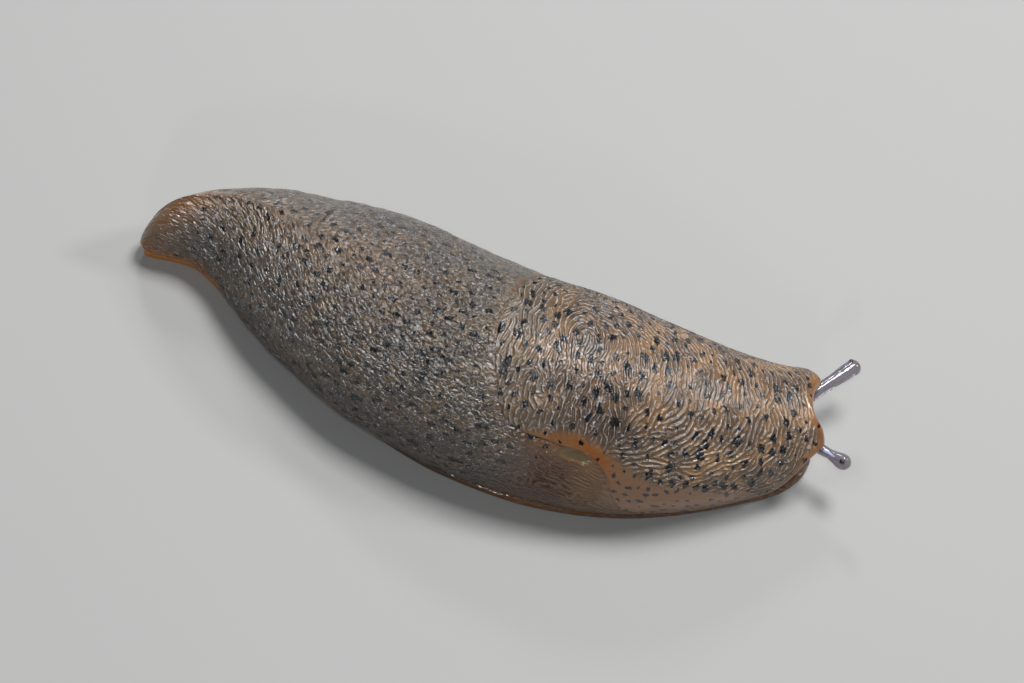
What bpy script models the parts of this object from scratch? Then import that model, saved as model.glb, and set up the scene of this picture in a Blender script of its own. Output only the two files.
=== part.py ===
"""A keelback slug at rest, half drawn in, at its real size, in metres.

The body is described along a bent spine: s runs from the tip of the tail to the head, side is the
distance to the animal's left and z the height over the floor. Every node is a closed solid.
"""
import math

import bmesh
import bpy
import numpy as np
from mathutils import Matrix, Vector

MM = 0.001
GAP = 0.3 * MM

# Spine: an arc that bends both ends to the animal's left, and a small sway of the middle line to the left
SPINE_RADIUS = 82 * MM
SPINE_MIDDLE = 43.85 * MM
SWAY = ((-1.2, -5.6), (0, -4.4), (2.7, -1.3), (5.6, 0.8), (8.8, 1.7), (18.4, 1.7), (28, 0.9), (37, 0.2),
        (46, -0.15), (55, -0.2), (62, 0.1), (70, 0.6), (77, 1.1))
TAIL_TIP = -1.2 * MM
BODY_LENGTH = 76.6 * MM

# Body outline: distance from the tail's tip, then the size there
HALF_WIDTH = ((-1.2, 4.4), (2.7, 5.1), (5.6, 6.0), (9, 7.5), (18.5, 10.95), (28, 12.6), (38, 12.6),
              (47, 12.2), (52, 11.9), (58, 10.8), (67.5, 8.2), (74, 6.6), (78, 5.7))
HEIGHT = ((-1.2, 8.6), (2, 9.8), (5.6, 10.7), (9, 11.6), (18.5, 13.9), (28, 15.7), (38, 17.0), (47, 17.5),
          (57.5, 15.7), (67.5, 12.4), (73.5, 10.0), (78, 9.0))
SHOULDER = ((-1.2, 2.3), (9, 3.5), (18.5, 4.6), (28, 5.4), (38, 5.8), (47, 5.4), (57.5, 4.4), (67.5, 3.8),
            (78, 3.5))
FOOT_HALF_WIDTH = ((-0.5, 1.9), (0.3, 3.0), (1.75, 3.7), (4.5, 4.5), (8, 6.0), (12, 7.2), (16.6, 8.4),
                   (21, 9.4), (28, 10.3), (38, 11.3), (45, 11.4), (50, 11.1), (58, 9.9), (67.5, 7.9),
                   (72.5, 6.8), (75, 5.5), (76.6, 3.8), (77.4, 2.0))
TAIL_ROUND_WIDTH = 4.0 * MM
TAIL_ROUND_HEIGHT = 2.6 * MM
UNDERSIDE = 1.5 * MM
LOW_EDGE = math.radians(125)
TAIL_SQUARENESS = 1.75
BODY_SQUARENESS = 2.0
TAIL_SHAPE_ENDS = 20 * MM
KEEL_HEIGHT = 0.55 * MM
KEEL_HALF_WIDTH = math.radians(5)
KEEL_LENGTH = 18 * MM
KEEL_LEAN = ((0, 0), (4, -4), (9, -9), (18, -11))

# Where the body is parted, as distances from the tail's tip
TAIL_ENDS = 11 * MM
BACK_ENDS = 40.2 * MM
TRUNK_ENDS = 62.6 * MM
NECK_ENDS = 67.6 * MM
HEAD_ENDS = 74.4 * MM

# Mantle: its hind edge, its side edges as angles from the top, and its hood
MANTLE_HIND = 37.2 * MM
MANTLE_RIGHT = ((0, 8), (0.6, 20), (1.7, 32), (2.7, 43), (4.2, 51), (6, 53), (8.6, 51), (11.8, 51.5),
                (13.6, 57), (15, 66), (16, 78), (17.6, 89), (20.9, 98), (25.6, 104), (31.6, 107), (40, 107))
MANTLE_LEFT = ((0, 8), (0.6, 20), (2.1, 36), (3.6, 52), (6.7, 65), (10.7, 76), (15.7, 87), (20.7, 97),
               (26.7, 107), (31.7, 114), (40, 116))
HOOD_EDGE = ((-116, 69.4), (-90, 71.0), (-60, 73.4), (-34, 76.1), (-3, 75.1), (34, 77.0), (60, 76.5),
             (90, 74.8), (116, 73.0))
HOOD_STARTS = 64 * MM
MANTLE_LIFT = 0.3 * MM
MANTLE_DEPTH = 1.1 * MM
MANTLE_RIM_TURN = 0.15
MANTLE_SPREAD = 0.92
HOOD_RIM = ((0.15, 0.8), (0.0, 0.45))
ROOM_OVER_MANTLE = 3 * MM
SHORTEST_RADIUS = 11 * MM

# Foot
SOLE_THICK = 1.15 * MM
FRINGE_WIDTH = 1.3 * MM
FRINGE_LIP = 0.45 * MM
FRINGE_LOW = 0.3 * MM
FRINGE_HIGH = 0.75 * MM
FRINGE_LEAN = 0.15
FRINGE_STARTS = -0.45 * MM
FRINGE_ENDS = 77.3 * MM
SOLE_STARTS = 1.4 * MM
SOLE_ENDS = 75.6 * MM

# Breathing pore, in the notch of the mantle's right edge, as shares of its own oval
PORE_AT = 50.2 * MM
PORE_ANGLE = math.radians(59)
PORE_TILT = math.radians(2.2)
PORE_HALF_LENGTH = 2.6 * MM
PORE_HALF_HEIGHT = 1.15 * MM
PORE_DEPTH = -1.5 * MM
PORE_INNER = 0.58
PORE_LIP_SECTION = ((1.0, -1.5), (1.0, -0.1), (0.93, 0.3), (0.82, 0.42), (0.66, 0.2), (0.58, -0.2),
                    (0.58, -1.5))
PORE_FLOOR_TOP = -0.25 * MM
PORE_FLOOR_DOME = 0.1 * MM
PORE_ROOM_TOP = 1.5 * MM

# Head, mouth lobes and feelers, placed from the head's own middle line
HEAD_HALF_WIDTH = 4.7 * MM
HEAD_TOP = 7.0 * MM
NECK_HALF_WIDTH = 5.2 * MM
NECK_TOP = 8.2 * MM
HEAD_SIDE = -0.2 * MM
HEAD_MIDDLE_HEIGHT = 0.45
HEAD_LOW_SHARE = 0.86
SNOUT_NARROWS = 0.42


class Feeler:
    """Root and tip of one feeler as (s, side, z), the radii along it and the way its eye looks."""

    def __init__(self, root, tip, root_radius, waist_radius, bulb_radius, eye_way=(0, 0, 1)):
        self.root = np.array(root) * MM
        self.tip = np.array(tip) * MM
        self.root_radius = root_radius * MM
        self.waist_radius = waist_radius * MM
        self.bulb_radius = bulb_radius * MM
        self.eye_way = np.array(eye_way) / np.linalg.norm(eye_way)
        self.length = np.linalg.norm(self.tip - self.root)


UPPER_FEELERS = {
    "left": Feeler((74.75, 1.55, 5.75), (83.5, 5.25, 6.9), 0.80, 0.78, 0.95, (-0.26, 0.69, 0.55)),
    "right": Feeler((74.5, -2.75, 5.75), (78.6, -7.2, 6.7), 0.78, 0.58, 0.93, (-0.40, -0.37, 0.84)),
}
LOWER_FEELERS = {
    "left": Feeler((74.8, 0.95, 4.35), (76.2, 1.15, 4.4), 0.42, 0.38, 0.42),
    "right": Feeler((74.8, -1.35, 4.35), (76.2, -1.55, 4.4), 0.42, 0.38, 0.42),
}
FEELER_PARTED = 0.52
BULB_STARTS = 0.55
BULB_FULL = 0.85
TIP_SHARE = 0.12
FEELER_TIP_SHARES = (0.9, 0.95, 0.985, 1.0)
EYE_RADIUS = 0.32 * MM
EYE_GAP = 0.12 * MM
EYE_SUNK = 0.11 * MM
MOUTH_LOBE_RADIUS = 1.35 * MM
MOUTH_LOBE_SIDE = 1.75 * MM
MOUTH_LOBE_UP = 2.75 * MM
MOUTH_LOBE_STRETCH = (0.95, 1.05, 0.85)

STATION_STEP = 1.9 * MM
RING_POINTS = 41
SHARP_ANGLE = math.radians(40)

SKIN_GREY = ("skin_grey", (0.16, 0.12, 0.085, 1), 0.38)
SKIN_TAN = ("skin_tan", (0.32, 0.19, 0.08, 1), 0.38)
SKIN_AMBER = ("skin_amber", (0.50, 0.22, 0.04, 1), 0.40)
SKIN_PALE = ("skin_pale", (0.36, 0.27, 0.17, 1), 0.45)
FEELER_GREY = ("feeler_grey", (0.30, 0.25, 0.26, 1), 0.30)
EYE_BLACK = ("eye_black", (0.006, 0.006, 0.008, 1), 0.15)


def curve_through(rows, at):
    """Smooth value at a distance, through rows of (distance, value) given in millimetres."""
    places = np.array([row[0] for row in rows], float) * MM
    values = np.array([row[1] for row in rows], float) * MM
    steps = np.diff(places)
    slopes = np.diff(values) / steps
    tangent = np.zeros(len(rows))
    tangent[0] = slopes[0]
    tangent[-1] = slopes[-1]
    turning = slopes[:-1] * slopes[1:] > 0
    mean = 2 * slopes[:-1] * slopes[1:] / np.where(turning, slopes[:-1] + slopes[1:], 1)
    tangent[1:-1] = np.where(turning, mean, 0)
    at = np.clip(np.asarray(at, float), places[0], places[-1])
    cell = np.clip(np.searchsorted(places, at, side="right") - 1, 0, len(steps) - 1)
    part = (at - places[cell]) / steps[cell]
    back = 1 - part
    start = values[cell] * (1 + 2 * part) * back**2 + tangent[cell] * steps[cell] * part * back**2
    end = values[cell + 1] * part**2 * (3 - 2 * part) - tangent[cell + 1] * steps[cell] * part**2 * back
    return start + end


def degrees_through(rows, at):
    """Smooth angle in radians, through rows of (distance in millimetres, degrees)."""
    return np.radians(curve_through(rows, at) / MM)


def smoothstep(low, high, value):
    """A soft step from 0 at low to 1 at high."""
    part = np.clip((value - low) / (high - low), 0, 1)
    return part * part * (3 - 2 * part)


def rounded(part):
    """A quarter circle's rise from 0 to 1."""
    return np.sqrt(np.clip(1 - (1 - np.clip(part, 0, 1)) ** 2, 0, 1))


def place(s, side, z):
    """World points from places along the spine."""
    s, side, z = np.broadcast_arrays(*(np.asarray(v, float) for v in (s, side, z)))
    angle = (s - SPINE_MIDDLE) / SPINE_RADIUS
    reach = SPINE_RADIUS - side - curve_through(SWAY, s)
    return np.stack([reach * np.sin(angle), SPINE_RADIUS - reach * np.cos(angle), z], axis=-1)


def body_surface(s, angle, lift=0.0):
    """Side and height of the body's outer surface at an angle from the top, left positive."""
    s, angle, lift = np.broadcast_arrays(*(np.asarray(v, float) for v in (s, angle, lift)))
    from_tip = s - TAIL_TIP
    width = curve_through(HALF_WIDTH, s) * rounded(from_tip / TAIL_ROUND_WIDTH) + lift
    shoulder = curve_through(SHOULDER, s)
    top = (curve_through(HEIGHT, s) - shoulder) * rounded(from_tip / TAIL_ROUND_HEIGHT) + lift
    foot = np.minimum(curve_through(FOOT_HALF_WIDTH, s) - FRINGE_LIP, width * 0.94) + lift * 0.5
    shape = smoothstep(0, TAIL_SHAPE_ENDS, s)
    power = 2 / (TAIL_SQUARENESS + (BODY_SQUARENESS - TAIL_SQUARENESS) * shape)
    turn = np.abs(angle)
    off_keel = (angle - degrees_through(KEEL_LEAN, s)) / KEEL_HALF_WIDTH
    keel = KEEL_HEIGHT * np.exp(-(off_keel**2)) * rounded((KEEL_LENGTH - s) / KEEL_LENGTH)
    upper_side = width * np.clip(np.sin(np.minimum(turn, math.pi / 2)), 0, 1) ** power
    upper_z = shoulder + (top + keel) * np.clip(np.cos(np.minimum(turn, math.pi / 2)), 0, 1) ** power
    low = np.clip((turn - math.pi / 2) / (LOW_EDGE - math.pi / 2), 0, 1) * math.pi / 2
    lower_side = foot + (width - foot) * np.cos(low)
    lower_z = shoulder - (shoulder - UNDERSIDE) * np.sin(low)
    is_low = turn > math.pi / 2
    return np.sign(angle) * np.where(is_low, lower_side, upper_side), np.where(is_low, lower_z, upper_z)


def on_body(s, angle, lift=0.0):
    """World points on the body's outer surface."""
    side, z = body_surface(s, angle, lift)
    return place(s, side, z)


def make_object(name, mesh, finish):
    """One named object with its own Principled material."""
    colour_name, colour, roughness = finish
    material = bpy.data.materials.new(f"{name}_{colour_name}")
    material.use_nodes = True
    shader = material.node_tree.nodes["Principled BSDF"]
    shader.inputs["Base Color"].default_value = colour
    shader.inputs["Roughness"].default_value = roughness
    shader.inputs["Metallic"].default_value = 0.0
    mesh.materials.append(material)
    thing = bpy.data.objects.new(name, mesh)
    bpy.context.scene.collection.objects.link(thing)
    return thing


def ring_sides(count, rows):
    """Triangles between rings of equally many points, each ring joined to the next."""
    faces = []
    for row in range(rows - 1):
        for k in range(count):
            a = row * count + k
            b = row * count + (k + 1) % count
            faces.append((a, b, b + count))
            faces.append((a, b + count, a + count))
    return faces


def mesh_from_rings(name, rings):
    """A closed mesh through rings of equally many points, with a middle point in each end."""
    count = len(rings[0])
    points = [tuple(p) for ring in rings for p in ring]
    first_middle = len(points)
    points.append(tuple(np.mean(rings[0], axis=0)))
    points.append(tuple(np.mean(rings[-1], axis=0)))
    faces = ring_sides(count, len(rings))
    last = (len(rings) - 1) * count
    for k in range(count):
        faces.append((first_middle, (k + 1) % count, k))
        faces.append((first_middle + 1, last + k, last + (k + 1) % count))
    return mesh_from_faces(name, points, faces)


def mesh_from_shell_rings(name, rings, across):
    """A closed mesh through thin rings that run over a shell and back, its ends closed by narrow strips."""
    count = len(rings[0])
    points = [tuple(p) for ring in rings for p in ring]
    faces = ring_sides(count, len(rings))
    for first in (0, (len(rings) - 1) * count):
        for k in range(across - 1):
            below = first + (count - k) % count
            below_next = first + count - k - 1
            if below_next != first + k + 1:
                faces.append((first + k, first + k + 1, below_next))
            if below != first + k:
                faces.append((first + k, below_next, below))
    return mesh_from_faces(name, points, faces)


def mesh_from_closed_rings(name, rings):
    """A closed mesh through rings that follow one another round a loop, as on a hoop."""
    count = len(rings[0])
    points = [tuple(p) for ring in rings for p in ring]
    faces = []
    for row in range(len(rings)):
        ahead = (row + 1) % len(rings)
        for k in range(count):
            beside = (k + 1) % count
            faces.append((row * count + k, row * count + beside, ahead * count + beside))
            faces.append((row * count + k, ahead * count + beside, ahead * count + k))
    return mesh_from_faces(name, points, faces)


def mesh_from_faces(name, points, faces):
    """A mesh that faces outwards and is shaded smooth where it bends softly."""
    mesh = bpy.data.meshes.new(name)
    mesh.from_pydata(points, [], faces)
    face_outwards(mesh)
    mesh.shade_smooth()
    mesh.set_sharp_from_angle(angle=SHARP_ANGLE)
    return mesh


def face_outwards(mesh):
    """Merge doubled points and turn every face out."""
    work = bmesh.new()
    work.from_mesh(mesh)
    bmesh.ops.remove_doubles(work, verts=work.verts, dist=1e-7)
    bmesh.ops.dissolve_degenerate(work, edges=work.edges, dist=1e-7)
    bmesh.ops.recalc_face_normals(work, faces=work.faces)
    if work.calc_volume(signed=True) < 0:
        bmesh.ops.reverse_faces(work, faces=work.faces)
    work.to_mesh(mesh)
    work.free()


def largest_piece(mesh):
    """Keep only the largest closed surface of a mesh."""
    work = bmesh.new()
    work.from_mesh(mesh)
    bmesh.ops.remove_doubles(work, verts=work.verts, dist=1e-6)
    left = set(work.faces)
    groups = []
    while left:
        group = set()
        front = [left.pop()]
        while front:
            face = front.pop()
            group.add(face)
            for edge in face.edges:
                for other in edge.link_faces:
                    if other in left:
                        left.discard(other)
                        front.append(other)
        groups.append(group)
    biggest = max(groups, key=lambda faces: sum(face.calc_area() for face in faces))
    loose = [face for group in groups if group is not biggest for face in group]
    bmesh.ops.delete(work, geom=loose, context="FACES")
    bmesh.ops.triangulate(work, faces=work.faces)
    work.to_mesh(mesh)
    work.free()


def combine(target, others, operation):
    """Join others to a solid, or cut them from it, in one Boolean that is applied."""
    group = bpy.data.collections.new(f"{target.name}_tools")
    bpy.context.scene.collection.children.link(group)
    for other in others:
        for owner in list(other.users_collection):
            owner.objects.unlink(other)
        group.objects.link(other)
        other.hide_render = True
        other.display_type = "WIRE"
    step = target.modifiers.new("combine", "BOOLEAN")
    step.operation = operation
    step.operand_type = "COLLECTION"
    step.collection = group
    step.solver = "EXACT"
    shape = bpy.data.meshes.new_from_object(target.evaluated_get(bpy.context.evaluated_depsgraph_get()))
    target.modifiers.remove(step)
    target.data = shape
    for other in others:
        bpy.data.objects.remove(other)
    bpy.data.collections.remove(group)
    largest_piece(target.data)
    face_outwards(target.data)


def stations(start, end, ends=()):
    """Evenly spread places from start to end, with any extra ones near an end."""
    count = max(3, round((end - start) / STATION_STEP) + 1)
    return np.unique(np.round(np.concatenate([np.linspace(start, end, count), ends]), 7))


def body_ring(s, lift=0.0):
    """One ring of the body's surface, closed by the flat underside."""
    angles = np.linspace(-LOW_EDGE, LOW_EDGE, RING_POINTS)
    return on_body(np.full(RING_POINTS, s), angles, lift)


def body_piece(name, start, end, finish, ends=()):
    """A length of the body."""
    rings = [body_ring(s) for s in stations(start, end, ends)]
    return make_object(name, mesh_from_rings(name, rings), finish)


def mantle_edges(forward, grow=0.0):
    """Angles of the mantle's right and left edges at a distance in front of its hind edge."""
    right = degrees_through(MANTLE_RIGHT, forward) + grow
    left = degrees_through(MANTLE_LEFT, forward) + grow
    return -right, left


def hood_shift(s, angle):
    """How far a place near the front slides along so that the last ring follows the hood's edge."""
    edge = curve_through(HOOD_EDGE, np.degrees(angle) * MM)
    return smoothstep(HOOD_STARTS, BODY_LENGTH, s) * (edge - BODY_LENGTH)


def mantle_ring(s, hind, grow, out, depth, rim):
    """One ring of the mantle's shell: over the outer face and back under the inner one."""
    low, high = mantle_edges(s - hind, grow)
    share = np.linspace(-1, 1, RING_POINTS)
    share = np.sign(share) * np.abs(share) ** MANTLE_SPREAD
    angles = (low + high) / 2 + (high - low) / 2 * share
    along = s + hood_shift(s, angles)
    rounding = rounded((1 - np.abs(share)) * (high - low) / 2 / MANTLE_RIM_TURN)
    outer = on_body(along, angles, -depth / 2 + (out + depth / 2) * rounding * rim)
    inner = on_body(along, angles, -depth / 2 - depth / 2 * rounding * rim)
    return np.concatenate([outer, inner[-2:0:-1]])


def mantle_shell(name, grow, hind_shift, out, depth):
    """The mantle's shell from its hind edge to the hood, or a larger copy for cutting room for it."""
    hind = MANTLE_HIND - hind_shift
    near = np.array([0.02, 0.25, 0.7, 1.4, 2.4, 3.6]) * MM + hind
    along = np.concatenate([near, np.linspace(hind + 5 * MM, BODY_LENGTH - 0.5 * MM, 22)])
    rings = [mantle_ring(s, hind, grow, out, depth, 1.0) for s in along]
    for before_end, rim in HOOD_RIM:
        rings.append(mantle_ring(BODY_LENGTH - before_end * MM, hind, grow, out, depth, rim))
    return mesh_from_shell_rings(name, rings, RING_POINTS)


def build_mantle():
    """The mantle as a shell over the front body, open at its hood."""
    mesh = mantle_shell("mantle", 0.0, 0.0, MANTLE_LIFT, MANTLE_DEPTH)
    mantle = make_object("mantle", mesh, SKIN_TAN)
    combine(mantle, [pore_room("room_in_mantle")], "DIFFERENCE")


def mantle_room(name):
    """A cutter that clears the mantle's shell by the gap."""
    mesh = mantle_shell(name, GAP / SHORTEST_RADIUS, GAP, ROOM_OVER_MANTLE, MANTLE_DEPTH + GAP)
    return make_object(name, mesh, SKIN_TAN)


def build_trunk():
    """Tail, back and front body, with room cut for the mantle."""
    nose = TAIL_TIP + np.array([0.5, 0.9, 1.4, 2.0, 2.8]) * MM
    body_piece("tail", TAIL_TIP + 0.25 * MM, TAIL_ENDS - GAP / 2, SKIN_GREY, nose)
    back = body_piece("back", TAIL_ENDS + GAP / 2, BACK_ENDS - GAP / 2, SKIN_GREY)
    combine(back, [mantle_room("room_over_back")], "DIFFERENCE")
    trunk = body_piece("trunk", BACK_ENDS + GAP / 2, TRUNK_ENDS - GAP / 2, SKIN_GREY)
    combine(trunk, [mantle_room("room_over_trunk"), pore_room("room_in_trunk")], "DIFFERENCE")


def head_ring(s, half_width, top, points=25):
    """One ring of the neck or head: a dome on the flat underside."""
    angles = np.linspace(-LOW_EDGE, LOW_EDGE, points)
    turn = np.abs(angles)
    middle = UNDERSIDE + (top - UNDERSIDE) * HEAD_MIDDLE_HEIGHT
    upper = turn <= math.pi / 2
    low = np.clip((turn - math.pi / 2) / (LOW_EDGE - math.pi / 2), 0, 1) * math.pi / 2
    low_side = HEAD_LOW_SHARE + (1 - HEAD_LOW_SHARE) * np.cos(low)
    side = np.where(upper, np.sin(turn), low_side) * half_width
    z = np.where(upper, middle + (top - middle) * np.cos(turn), middle - (middle - UNDERSIDE) * np.sin(low))
    return place(np.full(points, s), HEAD_SIDE + np.sign(angles) * side, z)


def build_head():
    """Neck and head under the hood."""
    neck = []
    for part in np.linspace(0, 1, 4):
        s = TRUNK_ENDS + GAP / 2 + (NECK_ENDS - TRUNK_ENDS - GAP) * part
        neck.append(head_ring(s, NECK_HALF_WIDTH + (HEAD_HALF_WIDTH - NECK_HALF_WIDTH) * part,
                              NECK_TOP + (HEAD_TOP - NECK_TOP) * part))
    make_object("neck", mesh_from_rings("neck", neck), SKIN_PALE)
    head = []
    start = NECK_ENDS + GAP / 2
    for part in (0, 0.3, 0.6, 0.8, 0.92, 0.98, 1.0):
        narrow = 1 - SNOUT_NARROWS * max(0.0, (part - 0.6) / 0.4) ** 2.2
        s = start + (HEAD_ENDS - start) * part
        head.append(head_ring(s, HEAD_HALF_WIDTH * narrow, UNDERSIDE + (HEAD_TOP - UNDERSIDE) * narrow))
    make_object("head", mesh_from_rings("head", head), SKIN_PALE)


def foot_ring(s, outer_side, inner_side):
    """Corners of the foot's fringe at one place: flat below, a soft lip outside."""
    lip = min(FRINGE_LIP, abs(outer_side - inner_side) * 0.4) * math.copysign(1, outer_side)
    brim = outer_side - lip * FRINGE_LEAN
    corners = ((inner_side, 0), (outer_side - lip, 0), (outer_side, FRINGE_LOW), (brim, FRINGE_HIGH),
               (outer_side - lip, SOLE_THICK), (inner_side, SOLE_THICK))
    return place(np.full(len(corners), s), *np.array(corners).T)


def sole_ring(s, reach):
    """Corners of the sole's flat slab at one place, reaching as far to both sides."""
    across = np.linspace(-reach, reach, 5)
    side = np.concatenate([across, across[::-1]])
    return place(np.full(len(side), s), side, np.repeat([0.0, SOLE_THICK], len(across)))


def build_foot():
    """The creeping sole and the fringe on both sides of it."""
    along = stations(SOLE_STARTS, SOLE_ENDS, np.array([2.3, 3.0, 74.4, 75.1]) * MM)
    reach = curve_through(FOOT_HALF_WIDTH, along) - FRINGE_WIDTH - GAP
    rings = [sole_ring(s, half) for s, half in zip(along, reach)]
    make_object("foot_sole", mesh_from_rings("foot_sole", rings), SKIN_PALE)
    ends = np.array([-0.2, 0.1, 0.6, 1.2, 74.4, 75.1, 75.9, 76.6]) * MM
    for name, hand in (("foot_fringe_left", 1), ("foot_fringe_right", -1)):
        rings = []
        for s in stations(FRINGE_STARTS, FRINGE_ENDS, ends):
            outer = curve_through(FOOT_HALF_WIDTH, s)
            beside_sole = SOLE_STARTS - GAP <= s <= SOLE_ENDS + GAP
            inner = max(outer - FRINGE_WIDTH, GAP / 2) if beside_sole else GAP / 2
            rings.append(foot_ring(s, hand * outer, hand * inner))
        make_object(name, mesh_from_rings(name, rings), SKIN_AMBER)


def tube_along(name, points, radii, sides):
    """A round tube through world points, with its ends closed."""
    points = np.asarray(points)
    rings = []
    for k, (centre, radius) in enumerate(zip(points, radii)):
        along = points[min(k + 1, len(points) - 1)] - points[max(k - 1, 0)]
        along /= np.linalg.norm(along)
        across = np.cross(along, (0, 0, 1))
        across /= np.linalg.norm(across)
        up = np.cross(across, along)
        turn = np.linspace(0, 2 * math.pi, sides, endpoint=False)[:, None]
        rings.append(centre + radius * (np.cos(turn) * across + np.sin(turn) * up))
    return mesh_from_rings(name, rings)


def feeler_profile(feeler, start, end):
    """Centres and radii of a feeler between two shares of its length."""
    shares = np.concatenate([np.linspace(start, end, 5), FEELER_TIP_SHARES])
    shares = np.unique(np.clip(shares, start, end))
    centres = [place(*(feeler.root + (feeler.tip - feeler.root) * share)) for share in shares]
    to_waist = np.minimum(1, shares / BULB_STARTS)
    stalk = feeler.root_radius + (feeler.waist_radius - feeler.root_radius) * to_waist
    radii = stalk + (feeler.bulb_radius - stalk) * smoothstep(BULB_STARTS, BULB_FULL, shares)
    round_tip = rounded((1 - shares) * feeler.length / feeler.bulb_radius)
    return centres, radii * np.maximum(TIP_SHARE, round_tip)


def eye_place(feeler):
    """Middle of the eye, sunk a little into the feeler's bulb."""
    along = (feeler.tip - feeler.root) / feeler.length
    centre = feeler.tip - along * feeler.bulb_radius
    return place(*(centre + feeler.eye_way * (feeler.bulb_radius - EYE_SUNK)))


def ball(name, centre, radius, finish, rings=8):
    """A small closed ball."""
    work = bmesh.new()
    bmesh.ops.create_uvsphere(work, u_segments=rings + 4, v_segments=rings, radius=radius)
    bmesh.ops.translate(work, verts=work.verts, vec=tuple(float(v) for v in centre))
    bmesh.ops.triangulate(work, faces=work.faces)
    mesh = bpy.data.meshes.new(name)
    work.to_mesh(mesh)
    work.free()
    mesh.shade_smooth()
    return make_object(name, mesh, finish)


def feeler_part(name, feeler, start, end, sides):
    """One length of a feeler."""
    centres, radii = feeler_profile(feeler, start, end)
    return make_object(name, tube_along(name, centres, radii, sides), FEELER_GREY)


def build_feelers():
    """Upper feelers in two lengths with an eye each, and the small drawn-in lower ones."""
    for hand, feeler in UPPER_FEELERS.items():
        half_gap = GAP / 2 / feeler.length
        feeler_part(f"upper_feeler_stalk_{hand}", feeler, 0.0, FEELER_PARTED - half_gap, 14)
        bulb = feeler_part(f"upper_feeler_bulb_{hand}", feeler, FEELER_PARTED + half_gap, 1.0, 16)
        eye = eye_place(feeler)
        combine(bulb, [ball("socket", eye, EYE_RADIUS + EYE_GAP, EYE_BLACK)], "DIFFERENCE")
        ball(f"eye_{hand}", eye, EYE_RADIUS, EYE_BLACK)
    for hand, feeler in LOWER_FEELERS.items():
        feeler_part(f"lower_feeler_{hand}", feeler, 0.0, 1.0, 12)


def build_mouth():
    """Two soft lobes in front of the head, with the line of the mouth between them."""
    for name, hand in (("left", 1), ("right", -1)):
        middle = (HEAD_ENDS + MOUTH_LOBE_RADIUS + GAP, HEAD_SIDE + hand * MOUTH_LOBE_SIDE, MOUTH_LOBE_UP)
        lobe = ball(f"mouth_lobe_{name}", (0, 0, 0), MOUTH_LOBE_RADIUS, SKIN_PALE, 10)
        for vertex in lobe.data.vertices:
            s, side, z = vertex.co
            stretched = np.array([s, side, z]) * MOUTH_LOBE_STRETCH
            vertex.co = place(*(np.array(middle) + stretched))


def pore_oval(share, lift, grow=0.0, points=28):
    """An oval line round the breathing pore, at a share of its size and a lift over the skin."""
    turn = np.linspace(0, 2 * math.pi, points, endpoint=False)
    along = PORE_AT + (PORE_HALF_LENGTH * share + grow) * np.cos(turn)
    across = (PORE_HALF_HEIGHT * share + grow) * np.sin(turn) / curve_through(HALF_WIDTH, PORE_AT)
    return on_body(along, -(PORE_ANGLE + PORE_TILT * np.cos(turn) * share + across), lift)


def pore_room(name):
    """A cutter that clears room for the breathing pore."""
    rings = [pore_oval(1.0, PORE_DEPTH - GAP, GAP), pore_oval(1.0, PORE_ROOM_TOP, GAP)]
    return make_object(name, mesh_from_rings(name, rings), SKIN_AMBER)


def build_pore():
    """The breathing pore's raised lip, and the smooth skin that closes it."""
    rings = [pore_oval(share, lift * MM) for share, lift in PORE_LIP_SECTION]
    make_object("pore_lip", mesh_from_closed_rings("pore_lip", rings), SKIN_AMBER)
    floor = [pore_oval(PORE_INNER, PORE_DEPTH, -GAP), pore_oval(PORE_INNER, PORE_FLOOR_TOP, -GAP),
             pore_oval(PORE_INNER * 0.5, PORE_FLOOR_TOP + PORE_FLOOR_DOME, -GAP)]
    make_object("pore_floor", mesh_from_rings("pore_floor", floor), SKIN_PALE)


def centre_on_floor():
    """Put the middle of the whole model's box over the origin, with the sole on the floor."""
    things = [thing for thing in bpy.data.objects if thing.type == "MESH"]
    points = np.array([tuple(vertex.co) for thing in things for vertex in thing.data.vertices])
    middle = (points.min(axis=0) + points.max(axis=0)) / 2
    middle[2] = points[:, 2].min()
    for thing in things:
        thing.data.transform(Matrix.Translation(Vector(-middle)))


def main():
    for thing in list(bpy.data.objects):
        bpy.data.objects.remove(thing)
    build_foot()
    build_trunk()
    build_mantle()
    build_head()
    build_mouth()
    build_feelers()
    build_pore()
    centre_on_floor()


main()
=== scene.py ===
"""Looks of a keelback slug at rest: its skin, mantle, feelers and eyes, with a floor, light and camera.

Shapes are worked out in millimetres along the animal's spine: s runs from the tail's tip to the head, side is
the distance to its left and z the height. Meshes are stored in metres, in the frame of the solids.
"""
import logging
import math
from dataclasses import dataclass, field
from enum import Enum
from typing import Any, Callable, Sequence

import bpy
import numpy as np
from mathutils import Matrix, Vector


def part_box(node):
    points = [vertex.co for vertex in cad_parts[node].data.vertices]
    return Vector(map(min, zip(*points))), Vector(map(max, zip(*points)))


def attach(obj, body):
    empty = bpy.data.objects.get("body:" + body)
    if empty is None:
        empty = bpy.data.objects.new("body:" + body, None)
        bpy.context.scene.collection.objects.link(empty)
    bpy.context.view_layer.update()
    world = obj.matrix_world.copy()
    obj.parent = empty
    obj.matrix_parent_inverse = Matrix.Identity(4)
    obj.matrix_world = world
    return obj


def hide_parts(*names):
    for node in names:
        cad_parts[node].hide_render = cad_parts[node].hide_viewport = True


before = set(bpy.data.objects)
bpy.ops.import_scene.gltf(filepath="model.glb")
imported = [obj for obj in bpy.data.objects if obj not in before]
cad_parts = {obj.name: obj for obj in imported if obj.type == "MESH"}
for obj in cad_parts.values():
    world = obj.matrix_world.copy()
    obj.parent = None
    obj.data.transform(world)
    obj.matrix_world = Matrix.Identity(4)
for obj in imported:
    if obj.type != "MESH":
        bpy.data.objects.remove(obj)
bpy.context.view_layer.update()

MM = 0.001
Array = np.ndarray
LOG = logging.getLogger("slug")
CHART_MAP = "chart"
GRAIN_MAP = "grain"
BAKE_MAP = "OFBake"
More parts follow.
